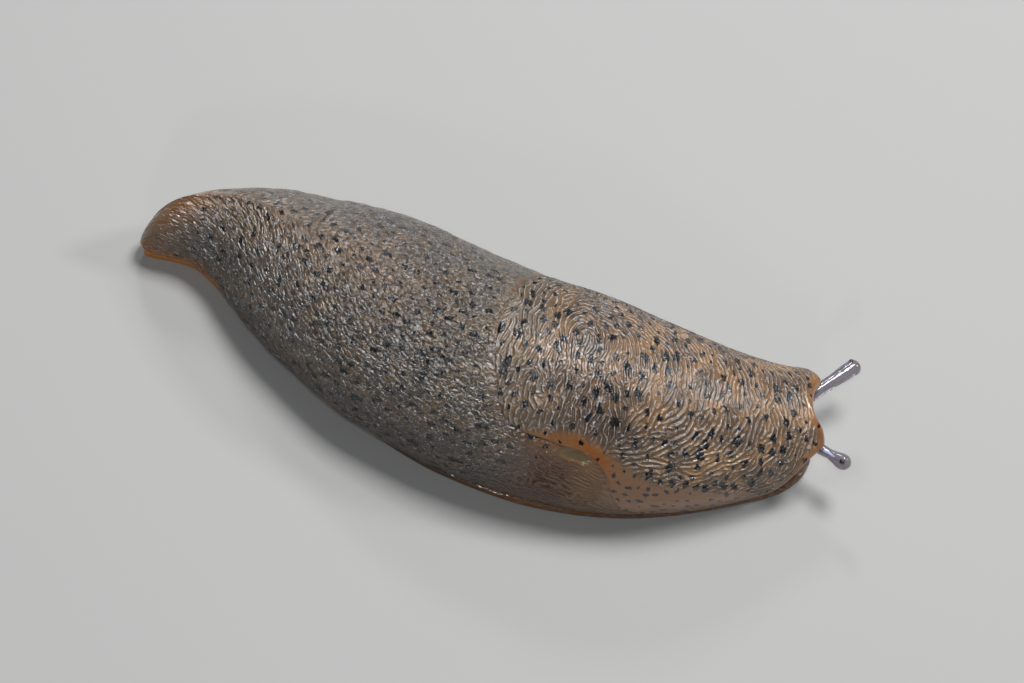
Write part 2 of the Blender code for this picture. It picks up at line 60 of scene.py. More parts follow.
SHADER = "Principled BSDF"
QUARTER = math.pi / 2
LAST_CELL = 1.001  # Keeps a place inside a table's last cell.
TINY = 1e-12


class Side(Enum):
    """A side of the animal, as the sign of its distance from the middle."""

    LEFT = 1
    RIGHT = -1

    @property
    def word(self) -> str:
        """The side as a part of a name."""
        return self.name.lower()


@dataclass(frozen=True)
class Curve:
    """A smooth line through rows of (place, value) that never swings past its rows."""

    rows: Sequence[tuple[float, float]]

    def __call__(self, at: Array | float) -> Array:
        """Value at each place.

        Args:
            at: Places, held to the rows' own range.

        Returns:
            The values there.
        """
        places, values = np.array(self.rows, float).T
        steps = np.diff(places)
        slopes = np.diff(values) / steps
        tangent = np.zeros(len(places))
        tangent[0] = slopes[0]
        tangent[-1] = slopes[-1]
        turning = slopes[:-1] * slopes[1:] > 0
        mean = 2 * slopes[:-1] * slopes[1:] / np.where(turning, slopes[:-1] + slopes[1:], 1)
        tangent[1:-1] = np.where(turning, mean, 0)
        at = np.clip(np.asarray(at, float), places[0], places[-1])
        cell = np.clip(np.searchsorted(places, at, side="right") - 1, 0, len(steps) - 1)
        part = (at - places[cell]) / steps[cell]
        back = 1 - part
        start = values[cell] * (1 + 2 * part) * back**2 + tangent[cell] * steps[cell] * part * back**2
        end = values[cell + 1] * part**2 * (3 - 2 * part) - tangent[cell + 1] * steps[cell] * part**2 * back
        return start + end


def smoothstep(low: float, high: float, value: Array) -> Array:
    """A soft step from 0 at low to 1 at high."""
    part = np.clip((value - low) / (high - low), 0, 1)
    return part * part * (3 - 2 * part)


def rounded(part: Array) -> Array:
    """A quarter circle's rise from 0 to 1."""
    return np.sqrt(np.clip(1 - (1 - np.clip(part, 0, 1)) ** 2, 0, 1))


def bump_at(value: Array, middle: float, width: float) -> Array:
    """A bell of height 1 round a middle."""
    return np.exp(-(((value - middle) / width) ** 2))


@dataclass(frozen=True)
class Ramp:
    """A soft step from 0 at its start to 1 at its end, which may come first."""

    start: float
    end: float

    def __call__(self, value: Array) -> Array:
        """Height of the step at each value."""
        return smoothstep(self.start, self.end, value)


@dataclass(frozen=True)
class Bell:
    """A bell of height 1 with a middle and a width."""

    middle: float
    width: float

    def __call__(self, value: Array) -> Array:
        """Height of the bell at each value."""
        return bump_at(value, self.middle, self.width)


@dataclass(frozen=True)
class Area:
    """A soft area of skin: its strength, and a ramp or bell that bounds it by each measure."""

    strength: float = 1.0
    s: Ramp | Bell | None = None
    arc: Ramp | Bell | None = None
    third: Ramp | Bell | None = None

    def __call__(self, *measures: Array) -> Array:
        """Strength at places given by s, by arc and by a third measure such as height."""
        share = self.strength
        for bound, value in zip((self.s, self.arc, self.third), measures):
            if bound is not None:
                share = share * bound(value)
        return share


def sample(table: Array, row: Array, column: Array) -> Array:
    """Values of a table between its cells.

    Args:
        table: Rows and columns of numbers.
        row: Fractional row of each wanted place.
        column: Fractional column of each wanted place.

    Returns:
        The values, mixed from the four cells around.
    """
    row = np.clip(row, 0, table.shape[0] - LAST_CELL)
    column = np.clip(column, 0, table.shape[1] - LAST_CELL)
    r, c = row.astype(int), column.astype(int)
    pr, pc = row - r, column - c
    near = table[r, c] * (1 - pc) + table[r, c + 1] * pc
    far = table[r + 1, c] * (1 - pc) + table[r + 1, c + 1] * pc
    return near * (1 - pr) + far * pr


@dataclass
class BodyForm:
    """The body's outline, the same as in the solids, and the flat chart of its skin."""

    spine_radius: float = 82.0
    spine_middle: float = 43.85
    tail_tip: float = -1.2
    length: float = 76.6
    tail_round_width: float = 4.0
    tail_round_height: float = 2.6
    underside: float = 1.5
    low_edge: float = math.radians(125)
    tail_squareness: float = 1.75
    body_squareness: float = 2.0
    tail_shape_ends: float = 20.0
    keel_height: float = 0.38
    keel_half_width: float = math.radians(7)
    keel_length: float = 18.0
    foot_inset: float = 0.45
    foot_share: float = 0.94
    station_step: float = 0.25
    station_end: float = 78.0
    chart_angles: int = 301
    sway: Curve = Curve(((-1.2, -5.6), (0, -4.4), (2.7, -1.3), (5.6, 0.8), (8.8, 1.7), (18.4, 1.7), (28, 0.9),
                         (37, 0.2), (46, -0.15), (55, -0.2), (62, 0.1), (70, 0.6), (77, 1.1)))
    half_width: Curve = Curve(((-1.2, 4.4), (2.7, 5.1), (5.6, 6.0), (9, 7.5), (18.5, 10.95), (28, 12.6),
                               (38, 12.6), (47, 12.2), (52, 11.9), (58, 10.8), (67.5, 8.2), (74, 6.6),
                               (78, 5.7)))
    height: Curve = Curve(((-1.2, 8.6), (2, 9.8), (5.6, 10.7), (9, 11.6), (18.5, 13.9), (28, 15.7),
                           (38, 17.0), (47, 17.5), (57.5, 15.7), (67.5, 12.4), (73.5, 10.0), (78, 9.0)))
    shoulder: Curve = Curve(((-1.2, 2.3), (9, 3.5), (18.5, 4.6), (28, 5.4), (38, 5.8), (47, 5.4), (57.5, 4.4),
                             (67.5, 3.8), (78, 3.5)))
    foot: Curve = Curve(((-0.5, 1.9), (0.3, 3.0), (1.75, 3.7), (4.5, 4.5), (8, 6.0), (12, 7.2), (16.6, 8.4),
                         (21, 9.4), (28, 10.3), (38, 11.3), (45, 11.4), (50, 11.1), (58, 9.9), (67.5, 7.9),
                         (72.5, 6.8), (75, 5.5), (76.6, 3.8), (77.4, 2.0)))
    keel_lean: Curve = Curve(((0, 0), (4, -4), (9, -9), (18, -11)))
    offset: Array = field(default_factory=lambda: np.zeros(3))
    _arc: Array = field(init=False)
    _angle: Array = field(init=False)

    def __post_init__(self) -> None:
        """Measure the skin round each station, to turn angles into distances on the chart and back."""
        stations = np.arange(self.tail_tip, self.station_end, self.station_step)
        angles = np.linspace(-self.low_edge, self.low_edge, self.chart_angles)
        side, z = self.surface(*np.meshgrid(stations, angles, indexing="ij"))
        steps = np.hypot(np.diff(side, axis=1), np.diff(z, axis=1))
        arc = np.concatenate([np.zeros((len(stations), 1)), np.cumsum(steps, axis=1)], axis=1)
        self._arc = arc - arc[:, self.chart_angles // 2][:, None]
        share = np.linspace(0, 1, self.chart_angles)
        rows = [np.interp(low + (high - low) * share, arc_row, angles)
                for arc_row, low, high in zip(self._arc, self._arc[:, 0], self._arc[:, -1])]
        self._angle = np.array(rows)

    def surface(self, s: Array, angle: Array, lift: Array | float = 0.0) -> tuple[Array, Array]:
        """Side and height of the body's outer surface.

        Args:
            s: Distances along the spine.
            angle: Angles from the top, left positive.
            lift: How far the surface is grown.

        Returns:
            The side and the height of each place.
        """
        s, angle, lift = np.broadcast_arrays(*(np.asarray(v, float) for v in (s, angle, lift)))
        from_tip = s - self.tail_tip
        width = self.half_width(s) * rounded(from_tip / self.tail_round_width) + lift
        shoulder = self.shoulder(s)
        top = (self.height(s) - shoulder) * rounded(from_tip / self.tail_round_height) + lift
        foot = np.minimum(self.foot(s) - self.foot_inset, width * self.foot_share) + lift / 2
        shape = smoothstep(0, self.tail_shape_ends, s)
        power = 2 / (self.tail_squareness + (self.body_squareness - self.tail_squareness) * shape)
        turn = np.abs(angle)
        off_keel = (angle - np.radians(self.keel_lean(s))) / self.keel_half_width
        keel = self.keel_height * np.exp(-(off_keel**2)) * rounded((self.keel_length - s) / self.keel_length)
        upper_side = width * np.clip(np.sin(np.minimum(turn, QUARTER)), 0, 1) ** power
        upper_z = shoulder + (top + keel) * np.clip(np.cos(np.minimum(turn, QUARTER)), 0, 1) ** power
        low = np.clip((turn - QUARTER) / (self.low_edge - QUARTER), 0, 1) * QUARTER
        lower_side = foot + (width - foot) * np.cos(low)
        lower_z = shoulder - (shoulder - self.underside) * np.sin(low)
        is_low = turn > QUARTER
        return np.sign(angle) * np.where(is_low, lower_side, upper_side), np.where(is_low, lower_z, upper_z)

    def place(self, s: Array, side: Array, z: Array) -> Array:
        """Points in the solids' frame, in millimetres, from places along the spine."""
        s, side, z = np.broadcast_arrays(*(np.asarray(v, float) for v in (s, side, z)))
        angle = (s - self.spine_middle) / self.spine_radius
        reach = self.spine_radius - side - self.sway(s)
        points = np.stack([reach * np.sin(angle), self.spine_radius - reach * np.cos(angle), z], axis=-1)
        return points + self.offset

    def arc(self, s: Array, angle: Array) -> Array:
        """Distance over the skin from the middle of the back to an angle."""
        row = (np.asarray(s, float) - self.tail_tip) / self.station_step
        column = (np.asarray(angle, float) + self.low_edge) / (2 * self.low_edge) * (self.chart_angles - 1)
        return sample(self._arc, *np.broadcast_arrays(row, column))

    def angle(self, s: Array, arc: Array) -> Array:
        """Angle from the top at a distance over the skin from the middle of the back."""
        row = (np.asarray(s, float) - self.tail_tip) / self.station_step
        low = sample(self._arc, row, np.zeros_like(row))
        high = sample(self._arc, row, np.full_like(row, self.chart_angles - 1))
        column = (np.asarray(arc, float) - low) / (high - low) * (self.chart_angles - 1)
        return sample(self._angle, *np.broadcast_arrays(row, column))


@dataclass
class MantleOutline:
    """The edge of the mantle, drawn on the body's flat chart."""

    form: BodyForm
    hind: float = 37.2
    hood_starts: float = 64.0
    corner_right: float = 4.2
    corner_left: float = 3.6
    ends: float = 39.4
    middle_angle: float = 8.0
    chart_step: float = 0.2
    chart_half: float = 28.0
    dense: int = 240
    loop_across: int = 60
    loop_along: int = 90
    line_edge: Ramp = Ramp(0.5, -0.7)
    right: Curve = Curve(((0, 8), (0.6, 20), (1.7, 32), (2.7, 43), (4.2, 51), (6, 54), (8.2, 54.5),
                          (10, 55.5), (12.2, 55.5), (13.6, 60), (15, 68), (16, 80), (17.6, 92), (20.9, 103),
                          (25.6, 110), (31.6, 113), (40, 113)))
    left: Curve = Curve(((0, 8), (0.6, 20), (2.1, 36), (3.6, 52), (6.7, 65), (10.7, 76), (15.7, 87),
                         (20.7, 97), (26.7, 107), (31.7, 114), (40, 116)))
    smooth_below: tuple = ((41, -11.5), (45, -10.6), (48, -9.7), (50.5, -10.6), (53, -11.6), (57, -13.0),
                           (64, -12.8), (78, -12.4))
    hood: Curve = Curve(((-116, 70.0), (-104, 71.2), (-90, 72.2), (-78, 73.1), (-64, 74.3), (-48, 76.2),
                         (-34, 76.0), (-10, 75.0), (8, 75.6), (30, 77.3), (48, 77.0), (64, 76.3), (90, 74.6),
                         (104, 73.2), (116, 70.5)))
    _distance: Array = field(init=False)

    def __post_init__(self) -> None:
        """Measure the distance to the edge all over the chart."""
        loop = self.loop(self.loop_across, self.loop_along)
        s = np.arange(self.form.tail_tip, self.form.station_end + self.chart_step, self.chart_step)
        arc = np.arange(-self.chart_half, self.chart_half + self.chart_step, self.chart_step)
        grid = np.stack(np.meshgrid(s, arc, indexing="ij"), axis=-1)
        nearest = np.full(grid.shape[:2], np.inf)
        inside = np.zeros(grid.shape[:2], bool)
        for start, end in zip(loop, np.roll(loop, -1, axis=0)):
            run = end - start
            part = np.clip((grid - start) @ run / max(run @ run, TINY), 0, 1)
            gap = np.linalg.norm(grid - start - part[..., None] * run, axis=-1)
            nearest = np.minimum(nearest, gap)
            if start[1] != end[1]:
                crosses = (start[1] > grid[..., 1]) != (end[1] > grid[..., 1])
                along = start[0] + (grid[..., 1] - start[1]) / (end[1] - start[1]) * run[0]
                inside ^= crosses & (grid[..., 0] < along)
        self._distance = np.where(inside, nearest, -nearest)

    def hood_shift(self, s: Array, degrees: Array) -> Array:
        """How far a place near the front slides so that the last ring follows the hood's edge."""
        return smoothstep(self.hood_starts, self.form.length, s) * (self.hood(degrees) - self.form.length)

    def on_chart(self, s: Array, degrees: Array) -> Array:
        """Chart points from distances along the spine and angles in degrees."""
        s = s + self.hood_shift(s, degrees)
        return np.stack([s, self.form.arc(s, np.radians(degrees))], axis=-1)

    def sides(self) -> tuple[Array, Array, Array, Array]:
        """The hind edge, the hood's edge and the right and left edges, as dense lines of chart points."""
        dense = self.dense
        behind_right = np.linspace(self.corner_right, 0, dense)
        behind_left = np.linspace(0, self.corner_left, dense)
        back = self.on_chart(self.hind + behind_right, -self.right(behind_right))
        middle = self.on_chart(np.full(dense, self.hind),
                               np.linspace(-self.middle_angle, self.middle_angle, dense))
        ahead = self.on_chart(self.hind + behind_left, self.left(behind_left))
        hind = np.concatenate([back, middle[1:-1], ahead])
        right_forward = np.linspace(self.corner_right, self.ends, 2 * dense)
        left_forward = np.linspace(self.corner_left, self.ends, 2 * dense)
        right = self.on_chart(self.hind + right_forward, -self.right(right_forward))
        left = self.on_chart(self.hind + left_forward, self.left(left_forward))
        turn = np.linspace(-float(self.right(self.ends)), float(self.left(self.ends)), 2 * dense)
        front = self.on_chart(np.full(2 * dense, self.form.length), turn)
        return hind, front, right, left

    def loop(self, across: int, along: int) -> Array:
        """The whole edge as one closed line of chart points."""
        hind, front, right, left = self.sides()
        return np.concatenate([even(hind, across)[:-1], even(left, along)[:-1], even(front, across)[:0:-1],
                               even(right, along)[:0:-1]])

    def patch(self, rows: int, columns: int) -> Array:
        """A grid of chart points that fills the outline from the hind edge to the hood."""
        hind, front, right, left = self.sides()
        hind, front = even(hind, columns), even(front, columns)
        right, left = even(right, rows), even(left, rows)
        p = np.linspace(0, 1, rows)[:, None, None]
        q = np.linspace(0, 1, columns)[None, :, None]
        across = (1 - p) * hind[None] + p * front[None]
        along = (1 - q) * right[:, None] + q * left[:, None]
        corners = ((1 - p) * ((1 - q) * hind[0] + q * hind[-1]) + p * ((1 - q) * front[0] + q * front[-1]))
        return across + along - corners

    def below_line(self, s: Array, arc: Array) -> Array:
        """1 on the right flank's smooth dotted skin and 0 above the line where it begins."""
        return self.line_edge(arc - np.interp(s, *np.transpose(self.smooth_below)))

    def distance(self, s: Array, arc: Array) -> Array:
        """Distance to the mantle's edge on the chart, above zero inside it."""
        return sample(self._distance, (s - self.form.tail_tip) / self.chart_step,
                      (arc + self.chart_half) / self.chart_step)


def even(line: Array, count: int) -> Array:
    """A line's points spread evenly along it."""
    steps = np.linalg.norm(np.diff(line, axis=0), axis=1)
    along = np.concatenate([[0], np.cumsum(steps)])
    wanted = np.linspace(0, along[-1], count)
    return np.stack([np.interp(wanted, along, line[:, k]) for k in range(line.shape[1])], axis=-1)


@dataclass
class Relief:
    """Fine folds of skin, grown from seeded noise on a flat chart along a given direction."""

    start: tuple[float, float]
    end: tuple[float, float]
    step: float = 0.075
    bins: int = 28
    rounds: int = 3
    sharpness: float = 1.4

    def axes(self) -> tuple[Array, Array]:
        """Distance along the spine and over the skin at every cell."""
        s = np.arange(self.start[0], self.end[0], self.step)
        arc = np.arange(self.start[1], self.end[1], self.step)
        return tuple(np.meshgrid(s, arc, indexing="ij"))

    def smooth_noise(self, size: float, seed: int) -> Array:
        """Soft even noise of unit strength whose lumps have one size."""
        s, _ = self.axes()
        spectrum = np.fft.rfft2(np.random.default_rng(seed).standard_normal(s.shape))
        over = np.hypot(np.fft.fftfreq(s.shape[0], self.step)[:, None],
                        np.fft.rfftfreq(s.shape[1], self.step)[None, :])
        noise = np.fft.irfft2(spectrum * np.exp(-((over * size) ** 2) * 2), s.shape)
        return noise / noise.std()

    def folds(self, direction: Array, spacing: float, run: float, seed: int, spread: float) -> Array:
        """Ridges of one spacing that follow a direction, forking and ending as skin folds do.

        Args:
            direction: Angle of the ridges at every cell, from the spine towards the left.
            spacing: Distance from crest to crest.
            run: How far a ridge holds its line.
            seed: Seed of the noise they grow from.
            spread: How much the spacing may vary.

        Returns:
            Complex numbers: the real part is highest on the crests, the whole number turns once from
            crest to crest.
        """
        value = np.random.default_rng(seed).standard_normal(direction.shape)
        over_s = np.fft.fftfreq(direction.shape[0], self.step)[:, None]
        over_arc = np.fft.fftfreq(direction.shape[1], self.step)[None, :]
        turn = np.mod(direction, 2 * math.pi) / (2 * math.pi) * self.bins
        first = np.floor(turn).astype(int) % self.bins
        part = turn - np.floor(turn)
        wanted = 1 / spacing
        filters = []
        for k in range(self.bins):
            way = 2 * math.pi * k / self.bins
            along = over_s * math.cos(way) + over_arc * math.sin(way)
            across = over_arc * math.cos(way) - over_s * math.sin(way)
            filters.append(np.exp(-(((across - wanted) / (wanted * spread)) ** 2) / 2
                                  - ((along * 2 * math.pi * run) ** 2) / 2))
        for _ in range(self.rounds):
            spectrum = np.fft.fft2(np.tanh(self.sharpness * value.real))
            value = np.zeros(direction.shape, complex)
            for k in range(self.bins):
                weight = np.where(first == k, 1 - part, 0) + np.where((first + 1) % self.bins == k, part, 0)
                value += weight * np.fft.ifft2(spectrum * filters[k])
            value /= value.real.std()
        return value

    def read(self, table: Array, s: Array, arc: Array) -> Array:
        """Values of a chart at given places."""
        return sample(table, (s - self.start[0]) / self.step, (arc - self.start[1]) / self.step)


@dataclass(frozen=True)
class Spots:
    """Dark spots thrown at random on a chart, kept apart, and stored as soft heights."""

    relief: Relief
    seed: int
    tries: int = 9000
    least: float = 0.55
    most: float = 1.3
    doubled: float = 0.4
    stretch: float = 1.3
    turn_spread: float = 0.35
    pair_gap: float = 1.2
    pair_scatter: float = 0.25
    pair_size: float = 0.8

    def throw(self, gap: Callable, size: Callable, way: Callable) -> Array:
        """Throw the spots.

        Args:
            gap: Gives the least distance between spots at a place, none where it is infinite.
            size: Gives the usual radius of a spot at a place.
            way: Gives the angle along which a spot is drawn out.

        Returns:
            Heights: 1 in a spot's middle, one half at its edge and 0 at twice its radius.
        """
        random = np.random.default_rng(self.seed)
        low, high = np.array(self.relief.start), np.array(self.relief.end)
        places = low + (high - low) * random.random((self.tries, 2))
        room = gap(places[:, 0], places[:, 1])
        kept = np.zeros((0, 2))
        for place, near in zip(places, room):
            if np.isfinite(near) and (len(kept) == 0 or ((kept - place) ** 2).sum(axis=1).min() > near**2):
                kept = np.vstack([kept, place])
        radius = size(kept[:, 0], kept[:, 1]) * random.uniform(self.least, self.most, len(kept))
        turn = way(kept[:, 0], kept[:, 1]) + random.normal(0, self.turn_spread, len(kept))
        second = random.random(len(kept)) < self.doubled
        shift = np.stack([np.cos(turn), np.sin(turn)], axis=-1) * (radius * self.pair_gap)[:, None]
        shift = shift + random.normal(0, self.pair_scatter, shift.shape) * radius[:, None]
        kept = np.vstack([kept, (kept + shift)[second]])
        radius = np.concatenate([radius, radius[second] * self.pair_size])
        turn = np.concatenate([turn, turn[second]])
        table = np.zeros(self.relief.axes()[0].shape)
        for place, reach, angle in zip(kept, radius, turn):
            self.stamp(table, place, reach, angle)
        return table

    def stamp(self, table: Array, place: Array, radius: float, angle: float) -> None:
        """Add one spot to the table of heights."""
        step = self.relief.step
        half = int(2 * radius * self.stretch / step) + 1
        row, column = (int(round((place[k] - self.relief.start[k]) / step)) for k in (0, 1))
        rows = np.arange(max(row - half, 0), min(row + half + 1, table.shape[0]))
        columns = np.arange(max(column - half, 0), min(column + half + 1, table.shape[1]))
        if not len(rows) or not len(columns):
            return
        off_s = (rows * step + self.relief.start[0] - place[0])[:, None]
        off_arc = (columns * step + self.relief.start[1] - place[1])[None, :]
        along = (off_s * math.cos(angle) + off_arc * math.sin(angle)) / self.stretch
        across = off_arc * math.cos(angle) - off_s * math.sin(angle)
        height = 1 - np.hypot(along, across) / (2 * radius)
        window = np.ix_(rows, columns)
        table[window] = np.maximum(table[window], height)


def maths(operation: str, reflected: bool = False) -> Callable[["Socket", Any], "Socket"]:
    """A method that adds one Math node.

    Args:
        operation: What the node works out.
        reflected: Whether the other value comes first.

    Returns:
        The method, which takes the other value.
    """
    def method(this: "Socket", other: Any) -> "Socket":
        values = (other, this) if reflected else (this, other)
        return this.graph.take("ShaderNodeMath", {"operation": operation}, dict(enumerate(values)))

    return method


class Socket:
    """A node's output on which Python's operators add Math nodes."""

    __add__ = maths("ADD")
    __radd__ = maths("ADD", reflected=True)
    __sub__ = maths("SUBTRACT")
    __rsub__ = maths("SUBTRACT", reflected=True)
    __mul__ = maths("MULTIPLY")
    __rmul__ = maths("MULTIPLY", reflected=True)
    __truediv__ = maths("DIVIDE")
    __rtruediv__ = maths("DIVIDE", reflected=True)
    __pow__ = maths("POWER")
    __rpow__ = maths("POWER", reflected=True)
    larger = maths("MAXIMUM")
    smaller = maths("MINIMUM")

    def __init__(self, graph: "Graph", port: bpy.types.NodeSocket) -> None:
        self.graph = graph
        self.port = port

    def held(self) -> "Socket":
        """The value held between 0 and 1."""
        return self.larger(0.0).smaller(1.0)

    def step(self, low: Any, high: Any) -> "Socket":
        """A soft step from 0 at low to 1 at high."""
        return self.graph.take("ShaderNodeMapRange", {"interpolation_type": "SMOOTHSTEP"},
                               {"Value": self, "From Min": low, "From Max": high})


class Graph:
    """A node tree that is filled by method calls."""

    def __init__(self, tree: bpy.types.NodeTree) -> None:
        self.tree = tree

    def node(self, kind: str, settings: dict[str, Any] | None = None,
             values: dict[Any, Any] | None = None) -> bpy.types.Node:
        """Add a node.

        Args:
            kind: The node's type.
            settings: Its settings, set before its sockets.
            values: Numbers or links for its sockets, by name, identifier or index.

        Returns:
            The new node.
        """
        node = self.tree.nodes.new(kind)
        for name, value in (settings or {}).items():
            setattr(node, name, value)
        for key, value in (values or {}).items():
            port = self._port(node.inputs, key)
            if isinstance(value, Socket):
                self.tree.links.new(value.port, port)
            else:
                port.default_value = value
        return node

    def take(self, kind: str, settings: dict[str, Any] | None = None, values: dict[Any, Any] | None = None,
             output: Any = 0) -> Socket:
        """Add a node and return one of its outputs."""
        return Socket(self, self._port(self.node(kind, settings, values).outputs, output))

    def mix(self, share: Any, first: Any, second: Any) -> Socket:
        """A mix of two colours."""
        return self.take("ShaderNodeMix", {"data_type": "RGBA"},
                         {"Factor_Float": share, "A_Color": first, "B_Color": second}, "Result_Color")

    def layers(self, colour: Any, *rows: tuple[Any, Any]) -> Socket:
        """Lay colours one over another.

        Args:
            colour: The lowest colour.
            rows: Share, or the name of the attribute that holds it, and colour of each layer above.

        Returns:
            The colour on top.
        """
        for share, tone in rows:
            colour = self.mix(self.attribute(share) if isinstance(share, str) else share, colour, tone)
        return colour

    def scaled(self, vector: Any, factor: Any) -> Socket:
        """A vector made longer by a factor."""
        return self.take("ShaderNodeVectorMath", {"operation": "SCALE"}, {0: vector, "Scale": factor})

    def attribute(self, name: str) -> Socket:
        """A number stored on the piece's points."""
        return self.take("ShaderNodeAttribute", {"attribute_name": name}, output="Fac")

    def plug(self, node: bpy.types.Node, values: dict[str, Socket]) -> None:
        """Link outputs to a node's sockets by name."""
        for name, value in values.items():
            self.tree.links.new(value.port, node.inputs[name])

    @staticmethod
    def _port(ports: Any, key: Any) -> bpy.types.NodeSocket:
        """The socket with that index, identifier or name."""
        if isinstance(key, int):
            return ports[key]
        exact = [port for port in ports if port.identifier == key]
        named = [port for port in ports if port.name == key and port.enabled]
        return (exact or named)[0]


def tint(red: int, green: int, blue: int) -> tuple[float, float, float, float]:
    """A shader colour from display values of 0 to 255."""
    values = [v / 255 for v in (red, green, blue)]
    return (*(v / 12.92 if v <= 0.04045 else ((v + 0.055) / 1.055) ** 2.4 for v in values), 1.0)


@dataclass(frozen=True)
class Lumps:
    """Noise, by the size of its lumps in millimetres, its detail and how rough that is."""

    size: float
    detail: float = 1.0
    roughness: float = 0.5


@dataclass(frozen=True)
class WetSkin:
    """What all of the animal's wet skins share: gloss, soft depth and fine grain."""

    name: str
    roughness: float = 0.11
    roughness_change: float = 0.08
    specular: float = 0.8
    coat: float = 0.0
    coat_roughness: float = 0.08
    coat_bend: float = 1.35
    depth: float = 0.10
    depth_scale: float = 0.0005
    depth_reach: tuple = (1.0, 0.5, 0.25)
    height: float = 0.0
    warp_detail: float = 2.0
    thread_lengths: tuple = (0.44, 0.54)
    black: tuple = tint(4, 4, 6)
    torn: Lumps = Lumps(0.3, 2.0, 0.6)
    torn_share: float = 0.85
    ink_edge: tuple = (0.43, 0.55)

    def start(self) -> tuple[bpy.types.Material, Graph, bpy.types.Node]:
        """A new material, its graph and its shader."""
        material = bpy.data.materials.new(self.name)
        material.use_nodes = True
        shader = material.node_tree.nodes[SHADER]
        for socket, value in (("Roughness", self.roughness), ("Coat Weight", self.coat),
                              ("Coat Roughness", self.coat_roughness), ("Coat IOR", self.coat_bend),
                              ("Subsurface Weight", self.depth), ("Subsurface Scale", self.depth_scale),
                              ("Subsurface Radius", self.depth_reach), ("Specular IOR Level", self.specular)):
            shader.inputs[socket].default_value = value
        return material, Graph(material.node_tree), shader

    @staticmethod
    def chart(graph: Graph, name: str = CHART_MAP) -> Socket:
        """The skin's own flat coordinates, in millimetres."""
        return graph.take("ShaderNodeUVMap", {"uv_map": name})

    @staticmethod
    def noise(graph: Graph, at: Socket, lumps: Lumps) -> Socket:
        """Flat noise with lumps of one kind."""
        return graph.take("ShaderNodeTexNoise", {"noise_dimensions": "2D"},
                          {"Vector": at, "Scale": 1 / lumps.size, "Detail": lumps.detail,
                           "Roughness": lumps.roughness}, "Fac")

    def ragged(self, graph: Graph, at: Socket, size: float, reach: float) -> Socket:
        """Coordinates pushed about by noise, so that what is drawn on them has ragged edges."""
        push = graph.take("ShaderNodeTexNoise", {"noise_dimensions": "2D"},
                          {"Vector": at, "Scale": 1 / size, "Detail": self.warp_detail}, "Color")
        return graph.take("ShaderNodeVectorMath", {"operation": "ADD"}, {0: at, 1: graph.scaled(push, reach)})

    @staticmethod
    def cells(graph: Graph, at: Socket, size: float, groove: float) -> Socket:
        """Flat-topped cells with narrow grooves between them: 1 on top and 0 in a groove."""
        edge = graph.take("ShaderNodeTexVoronoi", {"voronoi_dimensions": "2D", "feature": "DISTANCE_TO_EDGE"},
                          {"Vector": at, "Scale": 1 / size, "Randomness": 1.0}, "Distance")
        return (edge * size).step(0.0, groove)

    def threads(self, graph: Graph, at: Socket, size: float, width: float, gaps: float) -> Socket:
        """Thin winding threads along one level of a noise, broken into short lengths.

        Args:
            graph: The material's graph.
            at: Coordinates in millimetres.
            size: Size of the noise's lumps.
            width: Half width of a thread, as a step of the noise.
            gaps: Size of the lumps that break the threads.

        Returns:
            1 on a thread and 0 between threads.
        """
        off = self.noise(graph, at, Lumps(size)) - 0.5
        line = (1 - (off * off) ** 0.5 / width).larger(0.0)
        return line * self.noise(graph, at, Lumps(gaps)).step(*self.thread_lengths)

    def ink(self, graph: Graph, at: Socket, lift: Socket) -> Socket:
        """Black spots with ragged edges, from the spots' own heights on the skin."""
        torn = self.noise(graph, at, self.torn)
        return (graph.attribute("spots") + (torn - 0.5) * self.torn_share + lift).step(*self.ink_edge)

    def bump(self, graph: Graph, height: Socket) -> Socket:
        """A normal tilted as if a height between 0 and 1 were the skin's own height."""
        return graph.take("ShaderNodeBump", {}, {"Height": height, "Strength": 1.0, "Distance": self.height})

    def complete(self, graph: Graph, shader: bpy.types.Node, colour: Socket, patchy: Socket,
                 height: Socket) -> None:
        """Link the colour, a gloss that changes from patch to patch and the relief."""
        rough = self.roughness + (patchy - 0.5) * self.roughness_change
        graph.plug(shader, {"Base Color": colour, "Roughness": rough, "Normal": self.bump(graph, height)})


